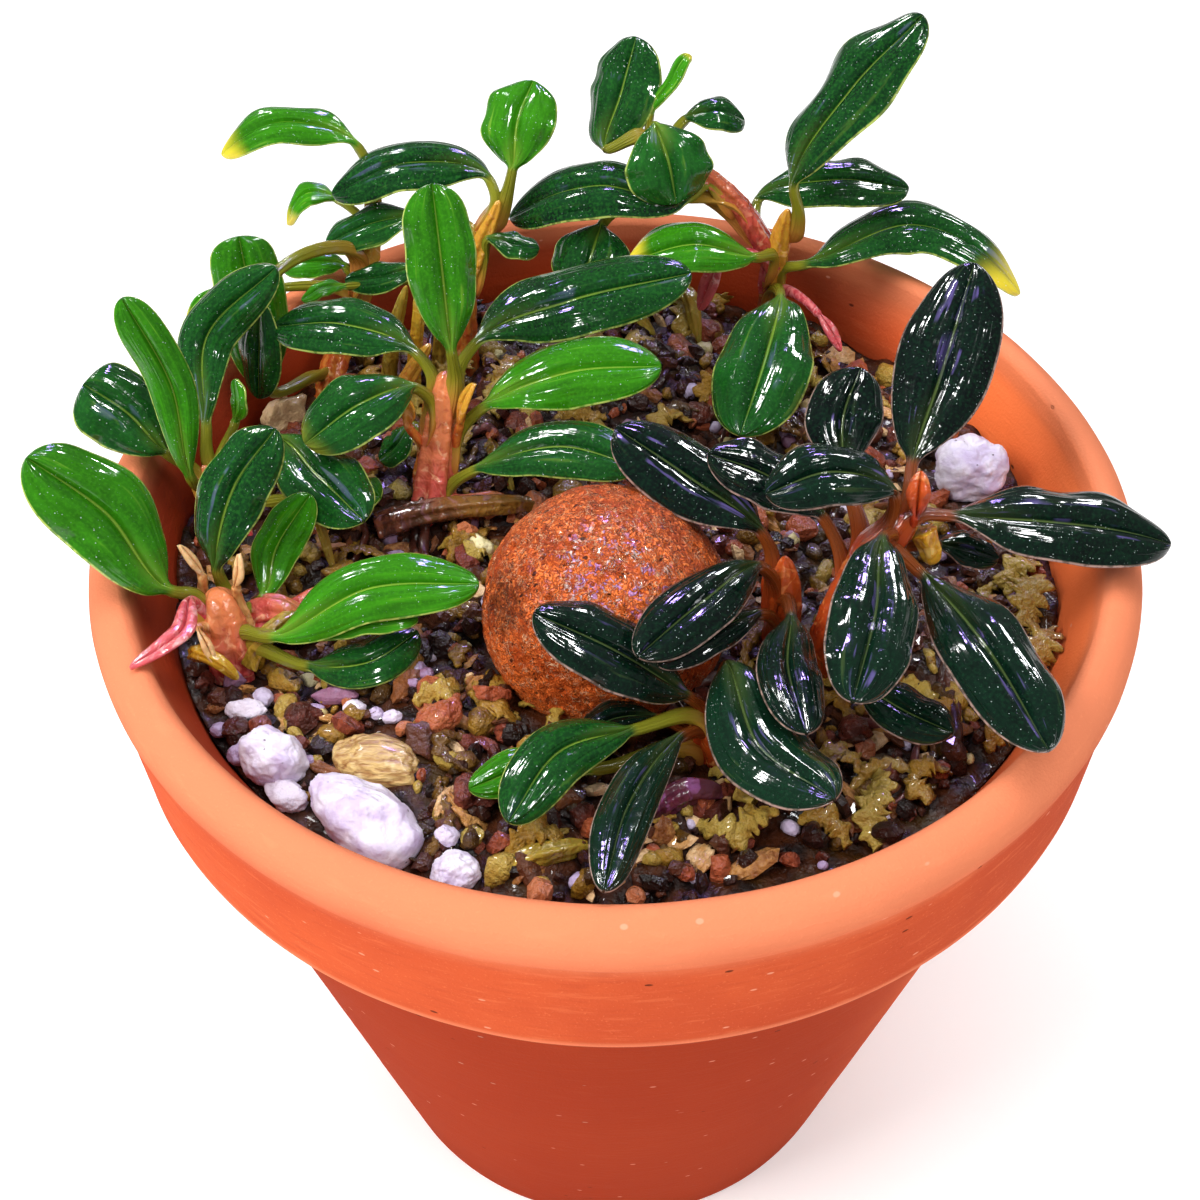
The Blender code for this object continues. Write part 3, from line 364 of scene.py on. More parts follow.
# Roots, stalks and a bud of their own: name, material, radius and points
ROOTS = (
    ("brown_rhizome", "brown_root", 1.5,
     ((-26, 2, 96.5), (-21.5, 2.6, 97.8), (-12.7, 4.2, 97.8), (-7.6, 6, 96.2))),
    ("olive_rhizome", "olive_root", 1.3, ((-10.5, -42.3, 95.8), (-6.4, -41.5, 97.3), (-2.3, -39.6, 95.8))),
    ("pink_rhizome", "pink_stem", 1.4,
     ((-37, -15, 97), (-32, -10.5, 97.6), (-27, -6.5, 97.4), (-22, -2, 95.6))),
    ("olive_stalk", "olive_root", 0.65, ((-34, 3, 102.5), (-32, -0.5, 100.5), (-30, -5, 96.5))),
    ("back_stalk", "olive_root", 0.9, ((-14.5, 16, 96), (-13.5, 12, 98), (-11.5, 8, 96))),
    ("far_stalk", "olive_root", 1.0, ((-2, 44, 96), (1, 40, 99), (5, 37, 96))),
    ("right_stalk", "olive_root", 1.2, ((7, 44, 96), (9, 40, 100), (10.5, 36, 95.5))),
    ("stalk_1", "olive_root", 1.0,
     ((-27.5, 27, 95), (-26.8, 27.5, 100), (-25.5, 28, 105.5), (-24.0, 28, 110))),
    ("stalk_2", "amber", 0.9, ((-24.5, 26, 95), (-23.8, 26.5, 101), (-22.8, 27, 107), (-22.2, 27.4, 113))),
    ("stalk_3", "olive_root", 1.1, ((-21.5, 29, 95), (-21, 29.5, 100), (-20, 30, 105), (-19.3, 30, 111))),
    ("stalk_4", "orange_stem", 1.2, ((-27, 22, 95), (-25.6, 23, 98), (-23.6, 24, 101), (-21.5, 25, 104))),
    ("knot_1", "pink_stem", 1.8,
     ((-37.5, -12, 96), (-35.8, -12.4, 98.6), (-33.4, -12.6, 98), (-32, -13.4, 96))),
    ("knot_2", "olive_root", 1.1,
     ((-37, -17.5, 96), (-35.4, -16.6, 98.6), (-33.6, -14.4, 99), (-31.6, -11, 96))),
    ("knot_3", "amber", 0.9, ((-42.5, -17, 97), (-41.4, -18.4, 98.6), (-39.4, -19.2, 98), (-38, -19.6, 96))),
    ("amber_bud", "amber", 1.25, ((30.0, -12.6, 110.0), (30.8, -13.2, 108.4), (31.2, -13.6, 106.4))),
    ("violet_root", "violet_root", 1.6, ((2.5, -36, 95.5), (6.5, -34.5, 97.2), (10.5, -33.5, 95.5))),
)

# Leaves that differ from the rest: wave of the edge in millimetres, power of the outline at a squarer
# tip, drop of a curled tip in millimetres, and yellow of the tip from 0 to 1. A bud is a small leaf
# of full youth
WAVY = {"back_2": 0.5, "north_6": 0.6, "north_9": 0.6, "east_1": 0.45, "east_9": 0.5, "east_11": 0.45}
SQUARE_TIPS = {"back_1": 7.0, "west_2": 5.0, "west_3": 5.0, "middle_1": 4.0}
CURLED_TIPS = {"back_2": 1.5, "north_8": 4.0, "north_3": 1.5, "east_10": 1.0, "bud": 2.0}
YELLOW_TIPS = {"back_2": 0.7, "bud": 0.8, "north_5": 1.0, "north_8": 0.8, "middle_3": 0.25}


# Arithmetic on arrays

def unit(vectors):
    """Vectors scaled to length 1."""
    return vectors / np.linalg.norm(vectors, axis=-1, keepdims=True)


def ease(share):
    """Smooth step: 0 below 0, 1 above 1, with level ends."""
    share = np.clip(share, 0.0, 1.0)
    return share * share * (3 - 2 * share)


def lattice_value(cells, seed):
    """A number between -1 and 1 for each whole-numbered cell, mixed from its coordinates."""
    mixed = (cells * (73856093, 19349663, 83492791)).sum(-1) + seed * 7919
    mixed = (mixed ^ (mixed >> 13)) * 1274126177 & 0xFFFFFFFF
    mixed = (mixed ^ (mixed >> 15)) * 2246822519 & 0xFFFFFFFF
    return (mixed ^ (mixed >> 16)) / 2 ** 31 - 1


def smooth_noise(points, size, seed=0):
    """Random numbers at the corners of a lattice, blended smoothly between the eight round a point."""
    cell = np.asarray(points, float) / size
    low = np.floor(cell).astype(np.int64)
    part = ease(cell - low)
    total = 0.0
    for corner in np.ndindex(2, 2, 2):
        weight = np.prod(np.where(corner, part, 1 - part), axis=-1)
        total = total + weight * lattice_value(low + corner, seed)
    return total


def rough_noise(points, size, seed=0, octaves=3):
    """Smooth noise plus the same at half the size and half the height, and so on."""
    return sum(smooth_noise(points, size / 2 ** k, seed + k) / 2 ** k for k in range(octaves))


def path_lengths(points):
    """Distance from the first point to each point, along the straight lines between them."""
    return np.concatenate(([0.0], np.cumsum(np.linalg.norm(np.diff(points, axis=0), axis=1))))


def curve_at(points, knots, slopes, where):
    """Cubic Hermite curve at the given distances along its knots."""
    span = np.clip(np.searchsorted(knots, where, side="right") - 1, 0, len(knots) - 2)
    width = knots[span + 1] - knots[span]
    u = ((where - knots[span]) / width)[:, None]
    width = width[:, None]
    return (
        (1 + 2 * u) * (1 - u) ** 2 * points[span]
        + u * (1 - u) ** 2 * width * slopes[span]
        + u ** 2 * (3 - 2 * u) * points[span + 1]
        + u ** 2 * (u - 1) * width * slopes[span + 1]
    )


def smooth_run(points, steps):
    """A curve through the points, whose slopes come from the neighbours' spacing."""
    points = np.array(points, float)
    knots = path_lengths(points)
    slopes = np.gradient(points, knots, axis=0)
    return curve_at(points, knots, slopes, np.linspace(0.0, knots[-1], steps))


# Meshes

def face_corners(rows, columns, ring):
    """Corner numbers of a surface whose columns go all round: quads between neighbouring rows, and
    where the rows aren't a ring, a fan of triangles round one more point at each end."""
    here = np.arange(columns)
    beside = np.roll(here, -1)
    row = np.arange(rows if ring else rows - 1)[:, None] * columns
    above = (row + columns) % (rows * columns)
    quads = np.stack((row + here, row + beside, above + beside, above + here), -1).reshape(-1, 4)
    if ring:
        return quads, np.zeros((0, 3), int)
    last = (rows - 1) * columns
    start = np.full(columns, rows * columns)
    fans = np.concatenate((
        np.stack((start, beside, here), -1),
        np.stack((start + 1, last + here, last + beside), -1),
    ))
    return quads, fans


def with_ends(values, ring):
    """Rows and columns flattened to one list a copy, with the mean of each end row where there is one."""
    flat = values.reshape(values.shape[0], -1, *values.shape[3:])
    if ring:
        return flat
    return np.concatenate((flat, values[:, :1].mean(2), values[:, -1:].mean(2)), 1)


def inside_out(verts, quads, fans):
    """Whether the volume summed over the faces is negative."""
    triangles = np.concatenate((quads[:, :3], quads[:, (0, 2, 3)], fans))
    a, b, c = (verts[triangles[:, k]] for k in range(3))
    return np.einsum("ij,ij->", a, np.cross(b, c)) < 0


def skin(name, points, ring=False, uv=None, values=None, smooth=True):
    """A mesh object of the surfaces points[copy, row, column], given in millimetres. uv has the same
    shape, and each of values is one number a point or one a copy."""
    points = points if points.ndim == 4 else points[None]
    copies, rows, columns, _ = points.shape
    verts = with_ends(points, ring)
    quads, fans = face_corners(rows, columns, ring)
    if inside_out(verts[0] - verts[0].mean(0), quads, fans):
        quads, fans = quads[:, ::-1], fans[:, ::-1]
    shift = (np.arange(copies) * verts.shape[1])[:, None, None]
    corners = np.concatenate(((quads + shift).ravel(), (fans + shift).ravel())).astype(np.int32)
    sizes = np.repeat((4, 3), (len(quads) * copies, len(fans) * copies))
    mesh = bpy.data.meshes.new(name)
    mesh.vertices.add(verts.shape[0] * verts.shape[1])
    mesh.vertices.foreach_set("co", (verts * MM).astype(np.float32).ravel())
    mesh.loops.add(len(corners))
    mesh.loops.foreach_set("vertex_index", corners)
    mesh.polygons.add(len(sizes))
    mesh.polygons.foreach_set("loop_start", np.concatenate(([0], np.cumsum(sizes)[:-1])).astype(np.int32))
    mesh.polygons.foreach_set("use_smooth", np.full(len(sizes), smooth))
    mesh.update(calc_edges=True)
    if uv is not None:
        spread = with_ends(uv if uv.ndim == 4 else uv[None], ring).reshape(-1, 2)
        mesh.uv_layers.new(name="surface").data.foreach_set("uv", spread[corners].astype(np.float32).ravel())
    for title, value in (values or {}).items():
        value = np.asarray(value, float)
        value = value.reshape(-1, 1, 1) if value.ndim < 2 else value.reshape(-1, *value.shape[-2:])
        spread = with_ends(np.broadcast_to(value, (copies, rows, columns)), ring)
        layer = mesh.attributes.new(title, "FLOAT", "POINT")
        layer.data.foreach_set("value", spread.astype(np.float32).ravel())
    mesh.validate()
    obj = bpy.data.objects.new(name, mesh)
    bpy.context.scene.collection.objects.link(obj)
    return obj


def put(obj, material, slot, *nodes):
    """Gives the piece its material, ties it to the frame's root, and hides the CAD parts of the nodes that it
    stands for.
    """
    obj.data.materials.append(material)
    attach(obj, "root")
    if nodes:
        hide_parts(*nodes)


def round_turn(count):
    """Angles evenly round a circle."""
    return 2 * math.pi * np.arange(count) / count


def ball_directions(rows, columns):
    """Unit vectors over a ball: rows from pole to pole, columns round it."""
    polar = (np.linspace(0.02, 0.98, rows) * math.pi)[:, None]
    around = round_turn(columns)[None]
    return np.stack((np.sin(polar) * np.cos(around), np.sin(polar) * np.sin(around),
                     np.cos(polar) + 0 * around), -1)


def tube(path, radius, columns):
    """Rings of the given radius[row, column] round each point of a path, square to its direction."""
    forward = unit(np.gradient(path, axis=0))
    axis = np.argmin(np.abs(path[-1] - path[0]))
    side = unit(np.cross(forward, np.eye(3)[axis]))
    up = np.cross(side, forward)
    turn = round_turn(columns)
    ring = np.cos(turn)[:, None] * side[:, None] + np.sin(turn)[:, None] * up[:, None]
    return path[:, None] + radius[..., None] * ring


def turned(points, yaw, tilt, spin):
    """Copies turned by tilt about X and by spin about Y, then by yaw about Z. Angles are one a copy."""
    def about(axis, angle):
        a, b = [(1, 2), (2, 0), (0, 1)][axis]
        matrix = np.zeros((len(angle), 3, 3))
        matrix[:, axis, axis] = 1
        matrix[:, a, a] = matrix[:, b, b] = np.cos(angle)
        matrix[:, b, a] = np.sin(angle)
        matrix[:, a, b] = -np.sin(angle)
        return matrix
    matrix = about(2, yaw) @ about(0, tilt) @ about(1, spin)
    return np.einsum("nij,nrcj->nrci", matrix, points)


# Materials

class Wire:
    """A socket in a material. A sum or product of it with a number or another adds Math nodes."""

    def __init__(self, finish, socket):
        self.finish = finish
        self.socket = socket

    def maths(self, operation, *others):
        """A Math node on this socket and the others."""
        return self.finish.add("Math", {"operation": operation}, dict(enumerate((self, *others))))

    def __add__(self, other):
        return self.maths("ADD", other)

    def __sub__(self, other):
        return self.maths("SUBTRACT", other)

    def __rsub__(self, other):
        return (self * -1.0).maths("ADD", other)

    def __mul__(self, other):
        return self.maths("MULTIPLY", other)

    def __truediv__(self, other):
        return self.maths("DIVIDE", other)

    __radd__ = __add__
    __rmul__ = __mul__

    def above(self, low, high):
        """0 below low, 1 above high, smooth between."""
        return self.finish.add("MapRange", {"interpolation_type": "SMOOTHSTEP"},
                               {"Value": self, "From Min": low, "From Max": high})


class Finish:
    """A material that is being put together."""

    def __init__(self, name):
        self.material = bpy.data.materials.new(name)
        self.material.use_nodes = True
        self.tree = self.material.node_tree
        self.tree.nodes.clear()
        self.where = self.add("TexCoord", out="Object")

    def add(self, kind, settings=None, sockets=None, out=0):
        """A new node of the kind, with its settings first and then its sockets' values or wires."""
        node = self.tree.nodes.new("ShaderNode" + kind)
        for title, value in (settings or {}).items():
            setattr(node, title, value)
        for title, value in (sockets or {}).items():
            if isinstance(value, Wire):
                self.tree.links.new(value.socket, node.inputs[title])
            elif node.inputs[title].type == "RGBA":
                node.inputs[title].default_value = (*value, 1.0)
            else:
                node.inputs[title].default_value = value
        return None if out is None else Wire(self, node.outputs[out])

    def mix(self, share, first, second):
        """Two colours mixed: the first where share is 0, the second where it is 1."""
        return self.add("Mix", {"data_type": "RGBA"}, {0: share, 6: first, 7: second}, out=2)

    def noise(self, size, detail=3.0, warp=0.0, where=None):
        """Noise with features of the given size in millimetres, from 0 to 1."""
        sockets = {"Vector": where or self.where, "Scale": 1 / (size * MM), "Detail": detail,
                   "Distortion": warp}
        return self.add("TexNoise", {}, sockets)

    def cells(self, size, out="Distance", where=None):
        """Voronoi cells of the given size in millimetres."""
        sockets = {"Vector": where or self.where, "Scale": 1 / (size * MM)}
        return self.add("TexVoronoi", {}, sockets, out=out)

    def axis(self, number, wire=None):
        """One coordinate of a vector, or of the place on the piece."""
        return self.add("SeparateXYZ", {}, {0: wire or self.where}, out=number)

    def stretched(self, x, y, z):
        """Object coordinates scaled by the three factors."""
        return self.add("Mapping", {}, {"Vector": self.where, "Scale": (x, y, z)})

    def away_from(self, spot):
        """Distance in metres from a spot."""
        sockets = {0: self.where, 1: tuple(spot)}
        return self.add("VectorMath", {"operation": "DISTANCE"}, sockets, "Value")

    def value(self, title):
        """One of the piece's own attributes."""
        return self.add("Attribute", {"attribute_name": title}, out="Fac")

    def surface_uv(self):
        """The piece's own surface coordinates: across and along."""
        uv = self.add("UVMap", {"uv_map": "surface"})
        return self.axis(0, uv), self.axis(1, uv)

    def parts_of(self, wire):
        """Red, green and blue of a colour."""
        return [self.add("SeparateColor", {}, {0: wire}, out=k) for k in range(3)]

    def bump(self, height, depth, strength=1.0):
        """A normal from a height between 0 and 1 that stands for the depth in millimetres."""
        return self.add("Bump", {}, {"Height": height, "Distance": depth * MM, "Strength": strength})

    def done(self, **sockets):
        """Ends the material with a Principled shader. Names of its sockets have _ for spaces."""
        named = {title.replace("_", " "): value for title, value in sockets.items()}
        shader = self.add("BsdfPrincipled", {}, named)
        self.add("OutputMaterial", {}, {"Surface": shader}, out=None)
        return self.material


def terracotta(look):
    """Matte fired clay: clouds of deeper and paler orange, fine grain, short turning lines, light specks
    and a few dark pits, a highlight painted on the lip and a pale line at the band's foot. Within the
    mouth's radius, where the inner wall is, painted light brightens the clay towards +X and painted
    shade darkens it elsewhere."""
    f = Finish("terracotta_clay")
    sideways = f.axis(0)
    height = f.axis(2)
    cloudy = f.noise(24.0, 4.0)
    lines = f.noise(0.7, 3.0, where=f.stretched(0.16, 0.16, 1.0))
    grain = f.noise(0.3, 2.0)
    colour = f.mix(cloudy.above(0.3, 0.7), look.deep, look.clay)
    colour = f.mix(lines.above(0.3, 0.46) * -0.45 + 0.45, colour, look.deep)
    colour = f.mix(lines.above(0.56, 0.72) * 0.32, colour, look.pale)
    colour = f.mix(grain.above(0.6, 0.74) * 0.4, colour, look.pale)
    # Painted highlight: the top of the lip, which faces the light, is painted paler.
    lip = (height + cloudy * 0.004).above((POT_HEIGHT - 5.5) * MM, (POT_HEIGHT + 0.5) * MM)
    colour = f.mix(lip * 0.6, colour, look.lip)
    away = f.add("VectorMath", {"operation": "LENGTH"}, {0: f.stretched(1.0, 1.0, 0.0)}, "Value")
    inside = 1 - away.above((LIP_MOUTH_RADIUS - 0.6) * MM, (LIP_MOUTH_RADIUS + 0.6) * MM)
    # Painted light and shade within the mouth's radius, where the inner wall is: towards +X the clay is
    # painted brighter as if lit, and elsewhere it is painted dark as shade.
    colour = f.mix(inside * sideways.above(0.026, 0.046) * 0.8, colour, look.inner)
    colour = f.mix(inside * (1 - sideways.above(0.02, 0.044)) * 0.85, colour, look.shade)
    # A pale line along the edge of the band's foot, in the lip's colour.
    edge = (height - (POT_HEIGHT - BAND_DEPTH + 0.6) * MM).maths("ABSOLUTE").above(0.0002, 0.0011)
    colour = f.mix((1 - edge) * 0.45, colour, look.lip)
    flat = f.stretched(0.7, 0.7, 1.5)
    chosen = f.parts_of(f.cells(2.3, "Color", flat))
    spots = 1 - f.cells(2.3, where=flat).above(0.07, 0.13)
    pits = spots * chosen[0].above(0.86, 0.87)
    colour = f.mix(pits * 0.85, colour, look.pit)
    colour = f.mix(spots * chosen[1].above(0.8, 0.82) * 0.6, colour, look.speck)
    relief = grain * 0.45 + lines * 0.5 - pits * 1.4
    return f.done(Base_Color=colour, Roughness=0.85, Specular_IOR_Level=0.04,
                  Normal=f.bump(relief, 0.16, 0.9))


def wet_soil(look):
    """Dark wet crumbs, brown to black, with a water film."""
    f = Finish("wet_substrate")
    colour = f.mix(f.noise(2.6, 4.0).above(0.35, 0.68), look.dark, look.brown)
    colour = f.mix(f.noise(7.0, 2.0).above(0.55, 0.75) * 0.6, colour, look.olive)
    rough = f.noise(1.4, 2.0).above(0.35, 0.65) * 0.35 + 0.25
    return f.done(Base_Color=colour, Roughness=rough, Specular_IOR_Level=0.25, Coat_Weight=0.08,
                  Coat_Roughness=0.05, Normal=f.bump(f.noise(0.7, 4.0, 0.6), 0.5))


def fired_clay(look):
    """Orange porous clay, woven of short curled dashes: dark cracks that crowd towards the top, pale
    ridges, dark pits, painted shade where the ball has a hollow, a brown shoulder, and a glossy wet
    patch with white and violet glints painted into its colour."""
    f = Finish("fired_clay_ball")
    height = f.axis(2)
    curls = f.noise(0.8, 2.0, 2.4)
    finer = f.noise(0.6, 1.0, 1.6)
    weave = (curls - 0.5).maths("ABSOLUTE").above(0.0, 0.09)
    high = (height + f.noise(5.0, 2.0) * 0.006).above(0.1, 0.113)
    crowded = f.noise(0.9).above(0.5 - high * 0.08, 0.58)
    cracks = (1 - (finer - 0.47).maths("ABSOLUTE").above(0.014, 0.04)) * crowded
    ridge_line = (f.noise(0.7, 1.0, 2.0) - 0.53).maths("ABSOLUTE").above(0.012, 0.045)
    ridges = (1 - ridge_line) * f.noise(1.1).above(0.48, 0.58)
    colour = f.mix(f.noise(3.5, 3.0).above(0.3, 0.7), look.deep, look.orange)
    colour = f.mix(weave, look.deep, colour)
    colour = f.mix(curls.above(0.56, 0.72) * 0.5, colour, look.pale)
    colour = f.mix(ridges * 0.8, colour, look.cream)
    colour = f.mix(cracks * 0.85, colour, look.pit)
    crooked = f.noise(0.6, 1.0) * 0.0006
    place = f.add("VectorMath", {"operation": "ADD"}, {0: f.where, 1: crooked})
    picked = f.parts_of(f.cells(1.2, "Color", place))[0].above(0.68 - high * 0.3, 0.7)
    pits = (1 - f.cells(1.2, where=place).above(0.12, 0.2)) * picked
    colour = f.mix(pits * 0.9, colour, look.pit)
    rough_way = f.noise(1.6, 3.0) * 0.006 - 0.003
    # Dark patches painted in the pit colour: the first is painted shade where the ball has a hollow, and the
    # second darkens the brown shoulder.
    for spot, reach, strength in ((look.hollow_shade_at, 0.0036, 0.75), (look.shoulder_at, 0.0055, 0.7)):
        away = f.away_from(spot)
        darkening = 1 - (away + rough_way).above(0.35 * reach, 1.25 * reach)
        colour = f.mix(darkening * (finer.above(0.3, 0.6) * 0.5 + 0.5) * strength, colour, look.pit)
    # Wet patch: the coat and low roughness give real gloss, while white and violet glints are painted into
    # its colour where the curls are high.
    away = f.away_from(look.gloss_at)
    wet = (1 - (away + rough_way * 2.0).above(0.003, 0.008)) * f.noise(0.9, 2.0, 1.0).above(0.42, 0.55)
    glint = wet * curls.above(0.5, 0.54) * f.noise(1.5).above(0.45, 0.55)
    colour = f.mix(glint * 0.8, colour, f.mix(f.noise(2.4).above(0.42, 0.5), look.painted_glint, look.violet))
    relief = weave * 0.5 + curls * 0.5 + ridges * 0.3 - pits * 1.3 - cracks * 0.6
    return f.done(Base_Color=colour, Roughness=0.6 - wet * 0.45, Specular_IOR_Level=0.2,
                  Coat_Weight=wet * 0.5, Coat_Roughness=0.06, Normal=f.bump(relief, 0.45, 0.9))


def pumice(look):
    """Pale lavender stone with small dark pores and faint violet patches."""
    f = Finish("pale_pumice")
    # Faint violet patches laid by noise.
    colour = f.mix(f.noise(2.4, 3.0).above(0.4, 0.7), look.pale, look.violet)
    pores = (1 - f.cells(0.95).above(0.1, 0.17)) * f.parts_of(f.cells(0.95, "Color"))[0].above(0.8, 0.84)
    colour = f.mix(pores * 0.8, colour, look.pore)
    relief = f.noise(0.8, 4.0) - pores * 0.8
    return f.done(Base_Color=colour, Roughness=0.55, Normal=f.bump(relief, 0.35, 0.7))


def grain_finish(name, colours, wet, size, depth):
    """Bits of one kind: each has its own share of the colours, mottled, with a water film."""
    f = Finish(name)
    shade = f.value("shade")
    mottle = f.noise(size, 3.0)
    pick = (shade * 0.75 + mottle * 0.5 - 0.12).above(0.0, 1.0) * (len(colours) - 1)
    colour = colours[0]
    for step, next_colour in enumerate(colours[1:]):
        colour = f.mix((pick - step).above(0.0, 1.0), colour, next_colour)
    rough = f.noise(size * 0.7).above(0.3, 0.7) * 0.3 + 0.5 - wet * 0.3
    return f.done(Base_Color=colour, Roughness=rough, Specular_IOR_Level=0.35, Coat_Weight=wet * 0.3,
                  Coat_Roughness=0.05, Normal=f.bump(f.noise(size * 0.45, 3.0), depth))


def bark_finish(look):
    """Tan husk with paler ridges along its length and brown hollows."""
    f = Finish("tan_husk")
    streaks = f.noise(0.9, 3.0, 0.4, where=f.stretched(0.45, 1.6, 1.6))
    colour = f.mix(streaks.above(0.3, 0.66), look.brown, look.tan)
    colour = f.mix(f.noise(1.8, 2.0).above(0.56, 0.75) * 0.8, colour, look.cream)
    return f.done(Base_Color=colour, Roughness=0.42, Coat_Weight=0.25, Coat_Roughness=0.15,
                  Normal=f.bump(streaks, 0.4))


def leaf_finish(name, look):
    """A wet leaf: dark blade, paler midrib, base and margin, streaks along it, fine white dots painted as
    glints of water droplets, violet streaks painted as sheen, and a petiole that turns from the stem's colour
    to the midrib's."""
    f = Finish(name)
    across, along = f.surface_uv()
    side = (across * 2.0 - 1.0).maths("ABSOLUTE")
    youth = f.value("youth")
    under = f.value("under")
    own_uv = f.add("CombineXYZ", {}, {0: across * 11.0, 1: along * 2.6, 2: f.value("seed")})
    streak = f.add("TexNoise", {}, {"Vector": own_uv, "Scale": 1.0, "Detail": 3.0, "Distortion": 0.3})
    film_uv = f.add("CombineXYZ", {}, {0: across * 8.0, 1: along * 2.2, 2: f.value("seed") + 5.0})
    film = f.add("TexNoise", {}, {"Vector": film_uv, "Scale": 1.0, "Detail": 1.5, "Distortion": 0.6})
    mottle = f.noise(2.6, 4.0, 0.5)
    grain = f.noise(0.32, 2.0)
    colour = f.mix((mottle * 0.6 + streak * 0.5).above(0.35, 0.75), look.deep, look.middle)
    fresh = youth * (streak * 1.1 + 0.2)
    colour = f.mix(fresh, colour, look.young)
    low = 1 - (along + side * 0.4).above(PETIOLE_UV - 0.04, PETIOLE_UV + 0.42)
    colour = f.mix(low * (youth * 0.6 + 0.2), colour, look.rib)
    colour = f.mix(grain.above(0.4, 0.75) * 0.4, colour, look.young)
    colour = f.mix(streak.above(0.62, 0.75) * (youth * 0.35 + 0.06), colour, look.rib)
    rib_width = 0.06 - along * 0.038
    rib = 1 - (side / rib_width).above(0.35, 1.0)
    colour = f.mix(rib * (1.35 - along) * look.rib_show, colour, look.rib)
    tip = f.value("tip") * along.above(0.8, 1.0) * (0.7 + side * 0.5)
    colour = f.mix(tip.above(0.05, 0.75), colour, look.tip)
    # Painted sheen: violet streaks beside the midrib are painted into the colour.
    beside_rib = 1 - (side - 0.25).maths("ABSOLUTE").above(0.08, 0.3)
    sheen = streak.above(0.56, 0.64) * beside_rib * f.noise(4.0, 1.0).above(0.5, 0.58)
    colour = f.mix(sheen * look.sheen, colour, look.violet)
    margin = side.above(0.95, 0.98) * (f.noise(0.8).above(0.4, 0.56) * 0.65 + 0.35)
    colour = f.mix(margin * look.margin_show, colour, look.margin)
    # Painted highlights: fine white dots stand for glints of water droplets, and they are also small bumps.
    picked = f.parts_of(f.cells(look.dot_gap, "Color"))
    dots = 1 - (f.cells(look.dot_gap) - picked[1] * 0.12).above(0.02, 0.1)
    patch = f.noise(3.0, 2.0).above(0.42, 0.6)
    dots = dots * picked[0].above(0.35, 0.38) * (patch * 0.85 + 0.15)
    colour = f.mix(dots * look.dot_show, colour, look.dot)
    colour = f.mix(under * 0.6, colour, look.under)
    petiole = f.mix(along.above(0.0, PETIOLE_UV * 0.8), look.foot, look.petiole)
    colour = f.mix(1 - along.above(PETIOLE_UV, PETIOLE_UV + 0.05), colour, petiole)
    relief = film * 1.2 + streak * 0.35 + f.noise(2.2, 1.5, 0.6) * 0.45 + grain * 0.03 + dots * 0.1
    return f.done(Base_Color=colour, Roughness=0.1 + under * 0.2, Specular_IOR_Level=0.42,
                  Normal=f.bump(relief, 0.3, 0.85))


def stem_finish(name, look):
    """Fleshy stem: streaked along its length, redder at the foot, pale in patches, wet."""
    f = Finish(name)
    along = f.surface_uv()[1]
    streaks = f.noise(1.4, 3.0, 0.8, where=f.stretched(1.5, 1.5, 0.5))
    colour = f.mix(streaks.above(0.38, 0.62), look.deep, look.flesh)
    colour = f.mix((along + f.noise(3.0) * 0.5).above(0.4, 1.0), colour, look.crown)
    colour = f.mix(f.noise(1.6, 2.0, 1.0).above(0.56, 0.7) * 0.6, colour, look.pale)
    colour = f.mix(f.noise(0.8, 2.0, 0.5).above(0.6, 0.72) * 0.5, colour, look.deep)
    relief = streaks * 0.5 + f.noise(1.5, 2.0, 0.6) * 0.9 + f.noise(0.5) * 0.15
    return f.done(Base_Color=colour, Roughness=0.2, Coat_Weight=0.5, Coat_Roughness=0.05,
                  Subsurface_Weight=0.15, Subsurface_Scale=0.002, Normal=f.bump(relief, 0.4))


# Settings

def tint(name, description, default):
    """A colour that the user can change."""
    return FloatVectorProperty(name=name, description=description, default=default, subtype="COLOR",
                               size=3, min=0.0, max=1.0)


def point(name, description, default):
    """A place that the user can change, with its default in millimetres."""
    return FloatVectorProperty(name=name, description=description, default=[c * MM for c in default],
                               subtype="TRANSLATION", unit="LENGTH", size=3, precision=5)


def how_many(name, description, default):
    """A whole number that the user can change."""
    return IntProperty(name=name, description=description, default=default, min=0)


def length(name, description, default):
    """A length that the user can change, with its default in millimetres."""
    return FloatProperty(name=name, description=description, default=default * MM, min=0.0,
                         subtype="DISTANCE", unit="LENGTH", precision=5)


def share(name, description, default):
    """A share from 0 to 1 that the user can change."""
    return FloatProperty(name=name, description=description, default=default, min=0.0, max=1.0,
                         subtype="FACTOR")


class PotSettings(bpy.types.PropertyGroup):
    clay: tint("Clay", "Main colour of the fired clay", (0.65, 0.108, 0.034))
    deep: tint("Deep clay", "Colour of the clay's darker clouds", (0.53, 0.076, 0.026))
    pale: tint("Pale clay", "Colour of the clay's lines and specks", (0.78, 0.19, 0.078))
    lip: tint("Lip", "Colour of the highlight painted on the lip, and of the pale line at the band's foot", (0.9, 0.33, 0.17))
    shade: tint("Inner wall painted shade", "Colour painted on the rest of the inner wall, as shade", (0.3, 0.028, 0.006))
    inner: tint("Inner wall painted light", "Colour painted towards +X on the inner wall, as light", (0.95, 0.2, 0.055))
    speck: tint("Specks", "Colour of the pale specks", (0.85, 0.42, 0.28))
    pit: tint("Pits", "Colour inside the clay's pits", (0.12, 0.025, 0.012))
    unevenness: length("Unevenness", "How far the turned wall strays from round", 0.12)


class SoilSettings(bpy.types.PropertyGroup):
    dark: tint("Dark crumbs", "Darkest colour of the wet substrate", (0.006, 0.002, 0.0015))
    brown: tint("Brown crumbs", "Main colour of the wet substrate", (0.06, 0.016, 0.005))
    olive: tint("Olive crumbs", "Colour of the substrate's mossy places", (0.07, 0.035, 0.005))
    lump: length("Lump height", "Height of the substrate's lumps", 1.3)
    crumb: length("Crumb height", "Height of the substrate's crumbs", 0.7)


